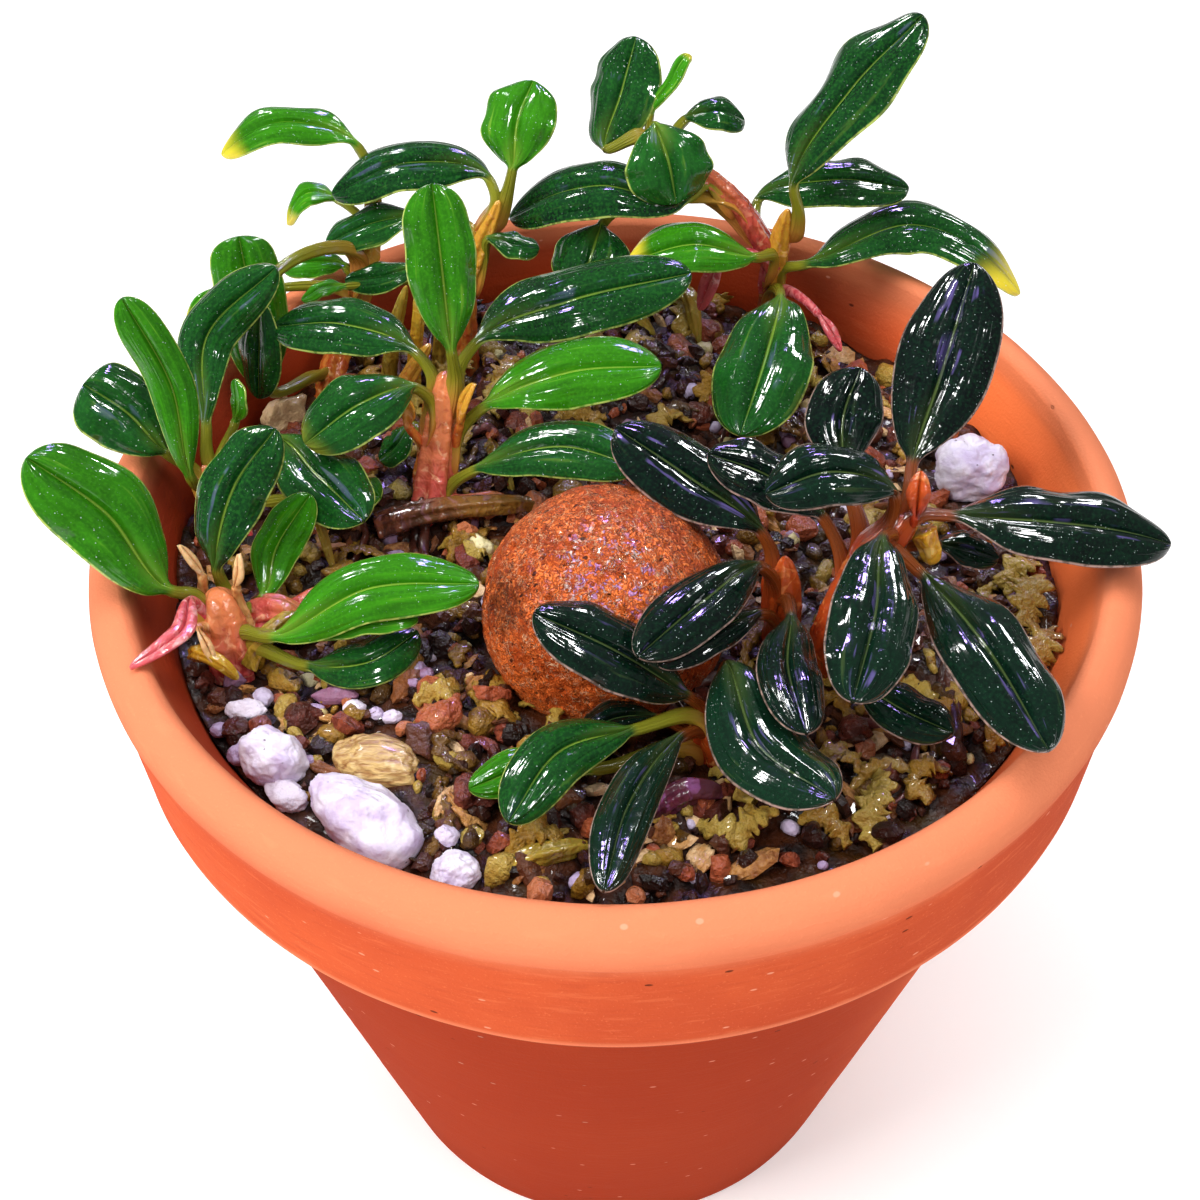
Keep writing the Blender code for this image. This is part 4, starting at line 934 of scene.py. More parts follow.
class BallSettings(bpy.types.PropertyGroup):
    orange: tint("Clay", "Main colour of the clay ball", (0.95, 0.21, 0.04))
    deep: tint("Deep clay", "Colour of the ball's hollows", (0.5, 0.07, 0.01))
    pale: tint("Pale clay", "Colour of the ball's raised grains", (0.95, 0.32, 0.09))
    cream: tint("Ridges", "Colour of the ball's pale dashes", (1.0, 0.62, 0.36))
    painted_glint: tint("Gloss", "Colour of the glints painted on the ball's wet patch", (1.0, 0.86, 0.84))
    violet: tint("Painted violet glint", "Violet tint of the glints painted on the ball's wet patch", (0.55, 0.3, 0.75))
    pit: tint("Pits", "Colour inside the ball's pits", (0.035, 0.008, 0.004))
    pore: length("Pore depth", "Depth of the ball's pores", 0.28)
    hollow_shade_at: point("Hollow shade", "Centre of the shade painted where the ball has a hollow", (-10.8, -18.2, 105.8))
    gloss_at: point("Gloss", "Centre of the wet patch and of its painted glints", (-0.5, -19.5, 111.0))
    shoulder_at: point("Shoulder", "Centre of the brown shoulder", (8.5, -6.5, 107.5))


class StoneSettings(bpy.types.PropertyGroup):
    pale: tint("Stone", "Main colour of the pumice", (0.78, 0.73, 0.88))
    violet: tint("Violet patches", "Colour of the pumice's faint violet patches", (0.58, 0.48, 0.72))
    pore: tint("Pores", "Colour inside the pumice's pores", (0.14, 0.08, 0.12))
    tan: tint("Husk", "Main colour of the bark chip", (0.62, 0.42, 0.16))
    cream: tint("Husk highlights", "Colour of the bark chip's ridges", (0.85, 0.72, 0.4))
    brown: tint("Husk hollows", "Colour of the bark chip's hollows", (0.28, 0.12, 0.03))


class BitSettings(bpy.types.PropertyGroup):
    crumbs: how_many("Crumbs", "Number of dark crumbs", 1300)
    granules: how_many("Granules", "Number of clay granules", 360)
    grit: how_many("Grit", "Number of pale lavender grains", 90)
    chips: how_many("Chips", "Number of bark chips", 430)
    moss: how_many("Moss", "Number of clumps of moss", 480)
    strips: how_many("Moss strips", "Number of moss strips", 90)
    cream: how_many("Cream chunks", "Number of cream chunks", 26)
    fibres: how_many("Fibres", "Number of roots and fibres", 26)
    seed: how_many("Seed", "Start of the random numbers", 11)


class StemSettings(bpy.types.PropertyGroup):
    flute: share("Flutes", "Depth of the stem's flutes, as a share of its radius", 0.1)
    ridge: share("Rings", "Height of the stem's rings, as a share of its radius", 0.07)
    ridge_gap: length("Ring spacing", "Distance between the stem's rings", 2.3)


class LeafSettings(bpy.types.PropertyGroup):
    thickness: length("Thickness", "Thickness of the blade", 0.5)
    wave: length("Edge wave", "Height of the wave along the margin", 0.3)
    groove: length("Groove", "Depth of the groove along the midrib", 0.42)
    hump: share("Hump", "Rise of each half between midrib and margin, as a share of the half width", 0.2)


class StageSettings(bpy.types.PropertyGroup):
    camera_behind: length("Camera distance", "How far the camera stands in front of the pot's axis", 125.34)
    camera_height: length("Camera height", "Height of the camera above the floor", 218.85)
    camera_pitch: FloatProperty(name="Camera pitch", description="Turn of the camera up from looking down",
                                default=math.radians(43.55), subtype="ANGLE", unit="ROTATION")
    lens: FloatProperty(name="Lens", description="Focal length on a 36 mm sensor", default=48.2,
                        unit="CAMERA")
    sky: FloatProperty(name="Sky", description="Strength of the even light from all round", default=0.17)
    shift: FloatProperty(name="Shift", description="Sideways shift of the view", default=-0.0129)


SETTINGS = {
    "bucephalandra_pot": PotSettings,
    "bucephalandra_soil": SoilSettings,
    "bucephalandra_ball": BallSettings,
    "bucephalandra_stones": StoneSettings,
    "bucephalandra_bits": BitSettings,
    "bucephalandra_stems": StemSettings,
    "bucephalandra_leaves": LeafSettings,
    "bucephalandra_stage": StageSettings,
}


# Pot

def arc(centre, radius, start, end, steps):
    """Points of a circular arc in the radius-height plane, angles in degrees."""
    turns = np.radians(np.linspace(start, end, steps + 1))
    return np.stack((centre[0] + radius * np.cos(turns), centre[1] + radius * np.sin(turns)), -1)


def spaced(points, gap):
    """The outline with extra points, so that none is further than the gap from the next."""
    pieces = []
    for a, b in zip(points, np.roll(points, -1, axis=0)):
        count = max(int(np.ceil(np.linalg.norm(b - a) / gap)), 1)
        pieces.append(a + (b - a) * (np.arange(count) / count)[:, None])
    return np.concatenate(pieces)


def wall_radius(height):
    """Radius of the pot's inner wall, which tapers evenly from floor to mouth."""
    flare = (WALL_TOP_RADIUS - FLOOR_RADIUS) / (POT_HEIGHT - WALL_TOP_DEPTH - FLOOR_THICKNESS)
    return FLOOR_RADIUS + flare * (height - FLOOR_THICKNESS)


def pot_section():
    """The pot's closed outline as (radius, height): lip, band, body, foot, hole, floor, wall, mouth."""
    band_foot = POT_HEIGHT - BAND_DEPTH
    lip = arc((LIP_RADIUS - LIP_ROUND, POT_HEIGHT - LIP_ROUND), LIP_ROUND, *LIP_ARC, 14)
    edge = arc((BAND_FOOT_RADIUS - BAND_FOOT_ROUND, band_foot + BAND_FOOT_ROUND), BAND_FOOT_ROUND, 0, -90, 5)
    step = arc((BODY_TOP_RADIUS + 0.5, band_foot - 0.5), 0.5, 90, 180, 3)
    foot = arc((FOOT_RADIUS - FOOT_ROUND, FOOT_ROUND), FOOT_ROUND, -15, -90, 4)
    hole = arc((DRAIN_RADIUS + 0.6, 0.6), 0.6, 270, 180, 3)
    top_hole = arc((DRAIN_RADIUS + 0.6, FLOOR_THICKNESS - 0.6), 0.6, 180, 90, 3)
    floor = arc((FLOOR_RADIUS - 2.0, FLOOR_THICKNESS + 2.0), 2.0, 270, 350, 4)
    wall = np.array(((WALL_TOP_RADIUS, POT_HEIGHT - WALL_TOP_DEPTH),
                     (LIP_MOUTH_RADIUS, POT_HEIGHT - LIP_MOUTH_DEPTH)))
    mouth = arc((LIP_MOUTH_RADIUS + MOUTH_ROUND, POT_HEIGHT - MOUTH_ROUND), MOUTH_ROUND, *MOUTH_ARC, 5)
    return np.concatenate((lip, edge, step, foot, hole, top_hole, floor, wall, mouth))


def pot_surface(look):
    """The section carried round the axis, its radius and height moved a little by smooth noise."""
    section = spaced(pot_section(), POT_SPACING)
    turn = round_turn(POT_ROUND)
    radius, height = section[:, :1], section[:, 1:]
    points = np.stack((radius * np.cos(turn), radius * np.sin(turn), height + 0 * turn), -1)
    stray = look.unevenness / MM * rough_noise(points, 17.0, 3, 2)
    stray += 0.035 * smooth_noise(points * (0.25, 0.25, 1.6), 1.5, 5)
    out = points * (1, 1, 0) / radius[..., None]
    return points + out * np.minimum(stray, 0.03)[..., None]


# Substrate

def soil_height(xy, look):
    """Height of the substrate: a low crown, rounded lumps and crumbs of three sizes."""
    flat = np.concatenate((xy, np.zeros((*xy.shape[:-1], 1))), -1)
    reach = np.linalg.norm(xy, axis=-1) / WALL_TOP_RADIUS
    lumps = smooth_noise(flat, 8.0, 21) * look.lump / MM
    crumbs = rough_noise(flat, 3.0, 31, 3) * look.crumb / MM
    return SOIL_LEVEL + SOIL_CROWN * (1 - reach ** 2) + lumps + crumbs


def soil_surface(look):
    """A plug that fills the pot: flat foot, straight side, and a top that follows soil_height."""
    edge = wall_radius(SOIL_LEVEL) - SOIL_GAP
    foot = FLOOR_THICKNESS + SOIL_GAP
    turn = round_turn(SOIL_ROUND)
    reach = np.linspace(0.004, 1.0, SOIL_RINGS) * edge
    xy = reach[:, None, None] * np.stack((np.cos(turn), np.sin(turn)), -1)
    top = np.concatenate((xy, soil_height(xy, look)[..., None]), -1)
    side_height = np.array((SOIL_LEVEL - 4.0, 60.0, 30.0, foot))
    side_radius = wall_radius(side_height) - SOIL_GAP
    rows = [np.stack((r * np.cos(turn), r * np.sin(turn), z + 0 * turn), -1)
            for r, z in zip((*side_radius, 1.0), (*side_height, foot))]
    return np.concatenate((top, np.stack(rows)))


def clear_of_stems_and_stones(xy, room):
    """Whether each place on the substrate is away from the clay ball, the stones and the stems' feet."""
    ball_at_soil = math.sqrt(BALL_RADIUS ** 2 - (BALL_CENTRE[2] - SOIL_LEVEL - 1.0) ** 2)
    clear = np.linalg.norm(xy - BALL_CENTRE[:2], axis=-1) > ball_at_soil + 0.5 * room
    for _, _, centre, half_sizes, *_ in STONES:
        clear &= np.linalg.norm(xy - centre[:2], axis=-1) > 0.8 * max(half_sizes) + 0.3 * room
    for radius, _, runs in STEMS.values():
        clear &= np.linalg.norm(xy - runs[0][0][:2], axis=-1) > radius + 0.3 * room
    return clear


def scattered(count, reach, room, rng):
    """Random places on the substrate that are clear of what stands in it."""
    found = np.zeros((0, 2))
    while len(found) < count:
        radius = reach * np.sqrt(rng.uniform(0, 1, 4 * count))
        turn = rng.uniform(0, 2 * math.pi, 4 * count)
        xy = np.stack((radius * np.cos(turn), radius * np.sin(turn)), -1)
        found = np.concatenate((found, xy[clear_of_stems_and_stones(xy, room)]))
    return found[:count]


def cut_balls(count, rows, columns, cuts, depth, rng):
    """Balls cut by random planes: the reach along each direction is to the nearest plane, at most 1."""
    directions = ball_directions(rows, columns)
    normals = unit(rng.normal(size=(count, cuts, 3)))
    offsets = rng.uniform(depth, 1.0, (count, cuts, 1, 1))
    facing = np.maximum(np.einsum("nkj,rcj->nkrc", normals, directions), 0.05)
    reach = np.minimum((offsets / facing).min(1), 1.0)
    return directions * reach[..., None]


def lay(shapes, sizes, xy, lift, tilt, rng, soil):
    """Shapes scaled to their sizes, turned at random and laid on the substrate."""
    count = len(shapes)
    yaw = rng.uniform(0, 2 * math.pi, count)
    tilts, spins = rng.normal(0, tilt, count), rng.normal(0, tilt, count)
    shapes = turned(shapes * sizes[:, None, None], yaw, tilts, spins)
    height = soil_height(xy, soil) + lift * sizes[:, 2]
    centre = np.concatenate((xy, height[:, None]), -1)
    return shapes + centre[:, None, None]


def ribbon_surface(start, heading, bend, run, width, arch, sway, form, soil):
    """Flat strips or threads on the substrate, each number one a strip: a path whose heading turns
    steadily, with an oval section whose width tapers to its ends and is toothed along its edge.
    form is rows, columns, reach, thickness, lift and depth of the teeth."""
    rows, columns, reach, thickness, lift, teeth = form
    rows_of = (np.asarray(value, float).reshape(len(start), -1)
               for value in (start, heading, bend, run, width, arch, sway))
    start, heading, bend, run, width, arch, sway = rows_of
    along = np.linspace(0, 1, rows)[None]
    turn = heading + bend * along + 0.5 * np.sin(6 * along + heading)
    step = run / (rows - 1)
    x = start[:, :1] + np.cumsum(np.cos(turn) * step, 1)
    y = start[:, 1:] + np.cumsum(np.sin(turn) * step, 1)
    far = np.maximum(np.hypot(x, y) / reach, 1.0)
    x, y = x / far, y / far
    z = soil_height(np.stack((x, y), -1), soil) + lift + arch * np.sin(math.pi * along)
    half = 0.5 * width * np.sqrt(np.sin(math.pi * np.clip(along, 0.03, 0.97)))
    half = half * (1 + teeth * np.sin(along * run * 5.0 + heading))
    angle = round_turn(columns)
    side = np.stack((-np.sin(turn), np.cos(turn), 0 * turn), -1)[:, :, None]
    sway = sway[..., None, None] + 0.5 * np.sin(5 * along)[..., None, None]
    side = unit(side + sway * np.array((0, 0, 1.0)))
    up = np.array((0, 0, 1.0)) * (thickness * np.sin(angle))[:, None]
    spread = half[:, :, None, None] * np.cos(angle)[:, None]
    return np.stack((x, y, z), -1)[:, :, None] + spread * side + up


def ribbons(count, lengths, widths, bend, form, rng, soil):
    """Strips or threads scattered over the substrate."""
    return ribbon_surface(
        scattered(count, form[2], 1.0, rng), rng.uniform(0, 2 * math.pi, count), rng.normal(0, bend, count),
        rng.uniform(*lengths, count), rng.uniform(*widths, count), rng.uniform(0, 1.4, count),
        rng.normal(0, 0.5, count), form, soil)


def stone_surface(centre, half_sizes, turn, taper, seed, rough):
    """A ball stretched to its half sizes, wider towards one end, dented by noise and turned about Z."""
    directions = ball_directions(*STONE_GRID)
    push = 1 + 0.2 * smooth_noise(directions, 0.9, seed) + rough * rough_noise(directions, 0.36, seed + 5, 3)
    points = directions * np.minimum(push, 1.08)[..., None]
    points[..., 1:] *= 1 + taper * points[..., :1]
    points = points * half_sizes
    angle = np.full(1, math.radians(turn))
    return turned(points[None], angle, 0 * angle, 0 * angle)[0] + centre


def ball_surface(look):
    """A ball with shallow dents, fine curled ridges, and pores where rough noise is high."""
    directions = ball_directions(*BALL_GRID)
    points = directions * BALL_RADIUS
    dents = 0.22 * smooth_noise(points, 7.0, 4) + 0.1 * smooth_noise(points, 2.5, 9)
    pores = np.maximum(rough_noise(points, 0.9, 8, 2) - 0.25, 0) * look.pore / MM * 1.6
    fibres = 0.11 * smooth_noise(points + smooth_noise(points, 1.3, 2)[..., None], 0.8, 6)
    return directions * (BALL_RADIUS + dents + fibres - pores)[..., None] + BALL_CENTRE


# Stems and leaves

def stem_place(stem, run, height):
    """The point on the stem's centre line at a share of a run."""
    path = smooth_run(STEMS[stem][2][run], 60)
    lengths = path_lengths(path)
    return np.array([np.interp(height * lengths[-1], lengths, path[:, k]) for k in range(3)])


def petiole_foot(stem, run, height, base):
    """Two points on the stem's outside towards the blade: lower down, and at the share of the run."""
    radius, _, runs = STEMS[stem]
    length = path_lengths(np.array(runs[run], float))[-1]
    foot = stem_place(stem, run, max(height - CLASP_LENGTH / length, 0.02))
    end = stem_place(stem, run, height)
    out = np.array((*(base - end)[:2], 0.0))
    out = out / max(np.linalg.norm(out), 0.01) * radius * (SHOOT_SHARE if run else 1.0)
    return foot + CLASP_FOOT_AT * out, end + CLASP_END_AT * out


def stem_surface(points, radius, look, seed):
    """A tube along the run: it tapers to a domed crown, is fluted, and swells at its rings."""
    path = smooth_run(points, STEM_ROWS)
    lengths = path_lengths(path)[:, None]
    share_up = lengths / lengths[-1]
    turn = round_turn(STEM_ROUND)
    rings = np.abs(np.sin(math.pi * lengths * MM / look.ridge_gap + 0.5 * np.sin(turn + seed))) ** 0.5
    flutes = np.cos(5 * turn + 2.0 * share_up + seed) + 0.6 * np.cos(8 * turn - 3.0 * share_up)
    domed = np.maximum((share_up - DOME_FROM) / (1 - DOME_FROM), 0)
    dome = np.sqrt(np.clip(1 - domed ** 2, 0.0025, 1))
    size = radius * (1 + (CROWN_SHARE - 1) * share_up) * dome
    size = size * (1 - look.ridge * rings + look.ridge + look.flute * flutes)
    surface = tube(path, size, STEM_ROUND)
    uv = np.stack(np.broadcast_arrays(turn / (2 * math.pi), share_up), -1)
    return surface, uv


def blade_width(v, tip_power):
    """Share of the full width at share v of the blade: a wedge below, a round end above."""
    below = np.sin(0.5 * math.pi * np.minimum(v / LEAF_WIDEST_AT, 1.0)) ** LEAF_BASE_POWER
    past = np.maximum((v - LEAF_WIDEST_AT) / (1 - LEAF_WIDEST_AT), 0.0)
    return below * (1 - past ** tip_power) ** LEAF_TIP_ROUND


def section_points():
    """Places across the leaf's section from 1 at its right to -1 and back, and its side: 1 on top."""
    top = np.array((1.0, 0.99, 0.96, 0.9, 0.8, 0.68, 0.55, 0.42, 0.3, 0.2, 0.12, 0.07, 0.03))
    top = np.concatenate((top, [0.0], -top[::-1]))
    below = np.array((-0.97, -0.85, -0.65, -0.4, -0.18, -0.06, 0.06, 0.18, 0.4, 0.65, 0.85, 0.97))
    return np.concatenate((top, below)), np.repeat((1.0, -1.0), (len(top), len(below)))


def leaf_surface(foot, start, base, tip, arch, bow, width, roll, look, wave, seed, fold=0.0,
                 tip_power=LEAF_TIP_POWER, curl=0.0):
    """A petiole that clasps the stem from foot to start, then widens into a thin blade. Across the blade
    each half rises from the groove of the midrib and falls to the margin, which waves along its length.
    A keel runs below."""
    along = tip - base
    right = unit(np.array((along[1], -along[0], 0.0)))
    crest = 0.5 * (base + tip) + arch * np.array((0.0, 0.0, 1.0)) + bow * right
    points = np.array((foot, start, base, crest, tip))
    knots = path_lengths(points)
    slopes = np.gradient(points, knots, axis=0)
    stalk, total = knots[2], knots[-1]
    v = 0.5 - 0.5 * np.cos(np.linspace(0.02, 1, BLADE_ROWS) * math.pi)
    v = np.minimum(v, 0.9993)
    petiole_where = np.linspace(0, stalk, PETIOLE_ROWS, endpoint=False)
    where = np.concatenate((petiole_where, stalk + v * (total - stalk)))
    v = np.concatenate((np.zeros(PETIOLE_ROWS), v))[:, None]
    centre = curve_at(points, knots, slopes, where)
    centre[:, 2:] -= curl * np.maximum((v - CURL_FROM) / (1 - CURL_FROM), 0.0) ** 2.5
    forward = unit(np.gradient(centre, axis=0))
    side = unit(right - forward * (forward @ right)[:, None])
    up = np.cross(side, forward)
    turn = np.radians(roll) * np.minimum(v / ROLL_SHARE, 1.0)
    side, up = side * np.cos(turn) + up * np.sin(turn), up * np.cos(turn) - side * np.sin(turn)

    x, face = section_points()
    phase = seed * 2.4 + (x < 0) * 1.7
    reach = np.abs(x)
    ripple = np.sin(2 * math.pi * (2.3 + 0.9 * math.sin(seed)) * v + phase) + 0.5 * np.sin(15 * v + 2 * phase)
    half = 0.5 * width * blade_width(v, tip_power) * (1 + EDGE_RIPPLE * ripple * np.sqrt(v))
    lift = look.hump * half * np.sin(math.pi * reach ** 0.75) - 0.1 * half * reach ** 3
    lift = lift - look.groove / MM * np.exp(-(x / GROOVE_WIDTH) ** 2) * np.sqrt(1 - v) * (face > 0)
    lift = lift + wave * ripple * reach ** 2.5 * np.sqrt(np.sin(math.pi * v) + 1e-6)
    lift = lift + fold * half * reach
    body = 0.5 * look.thickness / MM * (1 - x ** 2 * 0.999) ** 0.3 * face
    keel = KEEL_DEPTH * np.exp(-(x / KEEL_WIDTH) ** 2) * (1 - v) * (face < 0)
    radius = PETIOLE_RADIUS * (1.0 if width > SMALL_LEAF_WIDTH else SMALL_PETIOLE_SHARE)
    clasp = ease(1 - where / stalk)[:, None]
    radius = radius * np.sqrt(np.clip(where / (0.3 * stalk), 0.02, 1.0))[:, None]
    height = radius * (1 + 0.3 * clasp) * np.sqrt(1 - x ** 2) * face - 0.9 * clasp * x ** 2
    petiole = np.stack((radius * (1 + 1.5 * clasp) * x, height), -1)
    blade = np.stack((half * x, lift + body - keel), -1)
    section = petiole + (blade - petiole) * ease(v / BLADE_OPENS_BY)[..., None]
    surface = centre[:, None] + section[..., :1] * side[:, None] + section[..., 1:] * up[:, None]
    stalk_uv = PETIOLE_UV * (where / stalk)[:, None]
    along_uv = np.where(v > 0, PETIOLE_UV + (1 - PETIOLE_UV) * v, np.minimum(stalk_uv, PETIOLE_UV))
    uv = np.stack(np.broadcast_arrays(0.5 + 0.5 * x, along_uv), -1)
    return surface, uv, np.broadcast_to((face < 0) * 1.0, uv.shape[:2])


# Operators

def scene_look(context, title):
    """The settings of one group."""
    return getattr(context.scene, "bucephalandra_" + title)


# Kinds of loose bits: piece, material slot, setting with their number, least and greatest size, form,
# least depth of a cut, tilt, whether they have flat faces, wetness, depth of the bumps in millimetres
# and colours
BIT_KINDS = {
    "crumb": SimpleNamespace(
        piece="dark_crumbs", slot="substrate", number="crumbs", small=1.2, large=3.6,
        form=(1.0, 0.85, 0.8), cut=0.4, tilt=0.9, flat=True, wet=0.9, bumps=0.4,
        colours=((0.006, 0.0025, 0.002), (0.03, 0.009, 0.006), (0.085, 0.025, 0.012))),
    "granule": SimpleNamespace(
        piece="clay_granules", slot="fired_clay", number="granules", small=1.6, large=4.8,
        form=(1.0, 0.85, 0.8), cut=0.45, tilt=0.7, flat=True, wet=0.8, bumps=0.5,
        colours=((0.05, 0.01, 0.006), (0.17, 0.035, 0.02), (0.36, 0.08, 0.03), (0.46, 0.15, 0.06))),
    "grit": SimpleNamespace(
        piece="pale_grit", slot="pumice", number="grit", small=1.0, large=2.6,
        form=(1.0, 0.9, 0.9), cut=0.72, tilt=1.0, flat=False, wet=0.5, bumps=0.25,
        colours=((0.24, 0.1, 0.17), (0.4, 0.3, 0.5), (0.64, 0.56, 0.76), (0.8, 0.74, 0.88))),
    "chip": SimpleNamespace(
        piece="bark_chips", slot="bark", number="chips", small=2.4, large=6.4,
        form=(1.0, 0.5, 0.25), cut=0.45, tilt=0.5, flat=True, wet=0.6, bumps=0.4,
        colours=((0.07, 0.018, 0.006), (0.2, 0.065, 0.018), (0.46, 0.22, 0.06), (0.78, 0.54, 0.3))),
    "moss": SimpleNamespace(
        piece="moss_clumps", slot="substrate", number="moss", small=1.8, large=5.0,
        form=(1.0, 0.8, 0.7), cut=0.35, tilt=0.7, flat=False, wet=0.9, bumps=0.5,
        colours=((0.03, 0.012, 0.002), (0.12, 0.055, 0.006), (0.32, 0.17, 0.02), (0.42, 0.3, 0.06))),
    "cream": SimpleNamespace(
        piece="cream_chunks", slot="bark", number="cream", small=1.2, large=2.8,
        form=(1.0, 0.85, 0.8), cut=0.6, tilt=0.7, flat=False, wet=0.5, bumps=0.3,
        colours=((0.5, 0.36, 0.16), (0.66, 0.56, 0.26), (0.8, 0.74, 0.46))),
}
ROOT_COLOURS = ((0.02, 0.006, 0.004), (0.09, 0.022, 0.012), (0.16, 0.05, 0.05))

# Forms of flat strips and threads: rows, columns, reach, thickness, lift and depth of the teeth
STRIP_FORM = (26, 6, STRIP_REACH, 0.25, 0.5, 0.3)
PLACED_STRIP_FORM = (90, 12, PLACED_STRIP_REACH, 0.4, 0.9, 0.34)
FIBRE_FORM = (30, 8, STRIP_REACH, 0.5, 0.3, 0.0)


def scattered_bits(bit, count, rng, soil):
    """Bits of one kind all over the substrate: balls cut by planes, most of them near the least size."""
    xy = scattered(count, wall_radius(SOIL_LEVEL) - 0.45 * bit.large, 0.5 * bit.large, rng)
    size = 0.5 * (bit.small + (bit.large - bit.small) * rng.uniform(0, 1, (count, 1)) ** 2.2)
    sizes = size * np.array(bit.form) * rng.uniform(0.75, 1.25, (count, 3))
    shapes = cut_balls(count, *BIT_GRID, 9, bit.cut, rng)
    return lay(shapes, sizes, xy, 0.35, bit.tilt, rng, soil)


def placed_bit(xy, half, turn, depth, kind, number, soil):
    """One finer bit: a ball cut by planes and dented by noise, ridged along its length for a chip."""
    rng = np.random.default_rng(number * 17 + len(kind))
    shape = cut_balls(1, *PLACED_BIT_GRID, 11, depth, rng)[0]
    shape = 0.5 * (shape + unit(shape)) if kind in ("grit", "moss", "cream") else shape
    shape = shape * (1 + 0.16 * rough_noise(shape + number, 0.6, number, 3))[..., None]
    if kind == "chip":
        ridge = shape[..., 1] * 16 + 3 * smooth_noise(shape, 0.8, number)
        shape = shape * (1 + 0.09 * np.sin(ridge))[..., None]
    angle = np.full(1, math.radians(turn))
    shape = turned((shape * half)[None], angle, rng.normal(0, 0.15, 1), rng.normal(0, 0.15, 1))[0]
    return shape + (*xy, float(soil_height(xy[None], soil)[0]) + 0.75 * half[2])


class BUCEPHALANDRA_OT_pot(bpy.types.Operator):
    """Make the terracotta pot"""

    bl_idname = "bucephalandra.pot"
    bl_label = "Pot"

    def execute(self, context):
        look = scene_look(context, "pot")
        pot = skin("terracotta_pot", pot_surface(look), ring=True)
        put(pot, terracotta(look), "terracotta", "pot")
        return {"FINISHED"}


class BUCEPHALANDRA_OT_substrate(bpy.types.Operator):
    """Make the wet substrate"""

    bl_idname = "bucephalandra.substrate"
    bl_label = "Substrate"

    def execute(self, context):
        look = scene_look(context, "soil")
        soil = skin("wet_soil", soil_surface(look))
        put(soil, wet_soil(look), "substrate", "substrate")
        return {"FINISHED"}


class BUCEPHALANDRA_OT_ball(bpy.types.Operator):
    """Make the fired-clay ball"""

    bl_idname = "bucephalandra.ball"
    bl_label = "Clay ball"

    def execute(self, context):
        look = scene_look(context, "ball")
        put(skin("round_clay_ball", ball_surface(look)), fired_clay(look), "fired_clay", "clay_ball")
        return {"FINISHED"}


class BUCEPHALANDRA_OT_stones(bpy.types.Operator):
    """Make the pumice stones and the bark chip"""

    bl_idname = "bucephalandra.stones"
    bl_label = "Stones"

    def execute(self, context):
        look = scene_look(context, "stones")
        finishes = {"pumice": pumice(look), "bark": bark_finish(look)}
        for number, (name, node, centre, half_sizes, turn, taper, slot) in enumerate(STONES):
            points = stone_surface(np.array(centre), np.array(half_sizes), turn, taper, 40 + number, 0.09)
            put(skin(name, points), finishes[slot], slot, node)
        return {"FINISHED"}


class BUCEPHALANDRA_OT_bits(bpy.types.Operator):
    """Scatter crumbs, granules, grit, chips, moss strips and fibres over the substrate"""

    bl_idname = "bucephalandra.bits"
    bl_label = "Loose bits"

    def execute(self, context):
        look = scene_look(context, "bits")
        soil = scene_look(context, "soil")
        rng = np.random.default_rng(look.seed)
        for kind, bit in BIT_KINDS.items():
            count = getattr(look, bit.number)
            finish = grain_finish(bit.piece + "_finish", bit.colours, bit.wet, 1.1, bit.bumps)
            points = scattered_bits(bit, count, rng, soil)
            values = {"shade": rng.uniform(0, 1, count)}
            put(skin(bit.piece, points, values=values, smooth=not bit.flat), finish, bit.slot)
            placed = [row[1:] for row in PLACED_BITS if row[0] == kind]
            for number, (x, y, *half, turn, shade) in enumerate(placed, 1):
                shape = placed_bit(np.array((x, y)), 0.5 * np.array(half), turn, bit.cut, kind, number, soil)
                put(skin(f"{bit.piece}_{number}", shape, values={"shade": shade}), finish, bit.slot)
            if kind == "moss":
                moss = finish
        strips = ribbons(look.strips, (4, 11), (1.2, 2.8), 1.4, STRIP_FORM, rng, soil)
        put(skin("moss_strips", strips, values={"shade": rng.uniform(0, 1, look.strips)}), moss, "bark")
        x, y, heading, run, width, shade = np.array(PLACED_STRIPS).T
        strips = ribbon_surface(np.stack((x, y), -1), np.radians(heading), 0.3 * np.sin(x), run, width,
                                0.4 * width, 0.4 * np.sin(y), PLACED_STRIP_FORM, soil)
        strips = strips + 0.22 * rough_noise(strips, 1.1, 7, 3)[..., None]
        put(skin("placed_moss_strips", strips, values={"shade": shade}), moss, "bark")
        fibres = ribbons(look.fibres, (8, 20), (0.8, 1.8), 1.2, FIBRE_FORM, rng, soil)
        threads = skin("roots_and_fibres", fibres, values={"shade": rng.uniform(0, 1, look.fibres)})
        put(threads, grain_finish("root_finish", ROOT_COLOURS, 0.9, 1.2, 0.2), "bark")
        return {"FINISHED"}


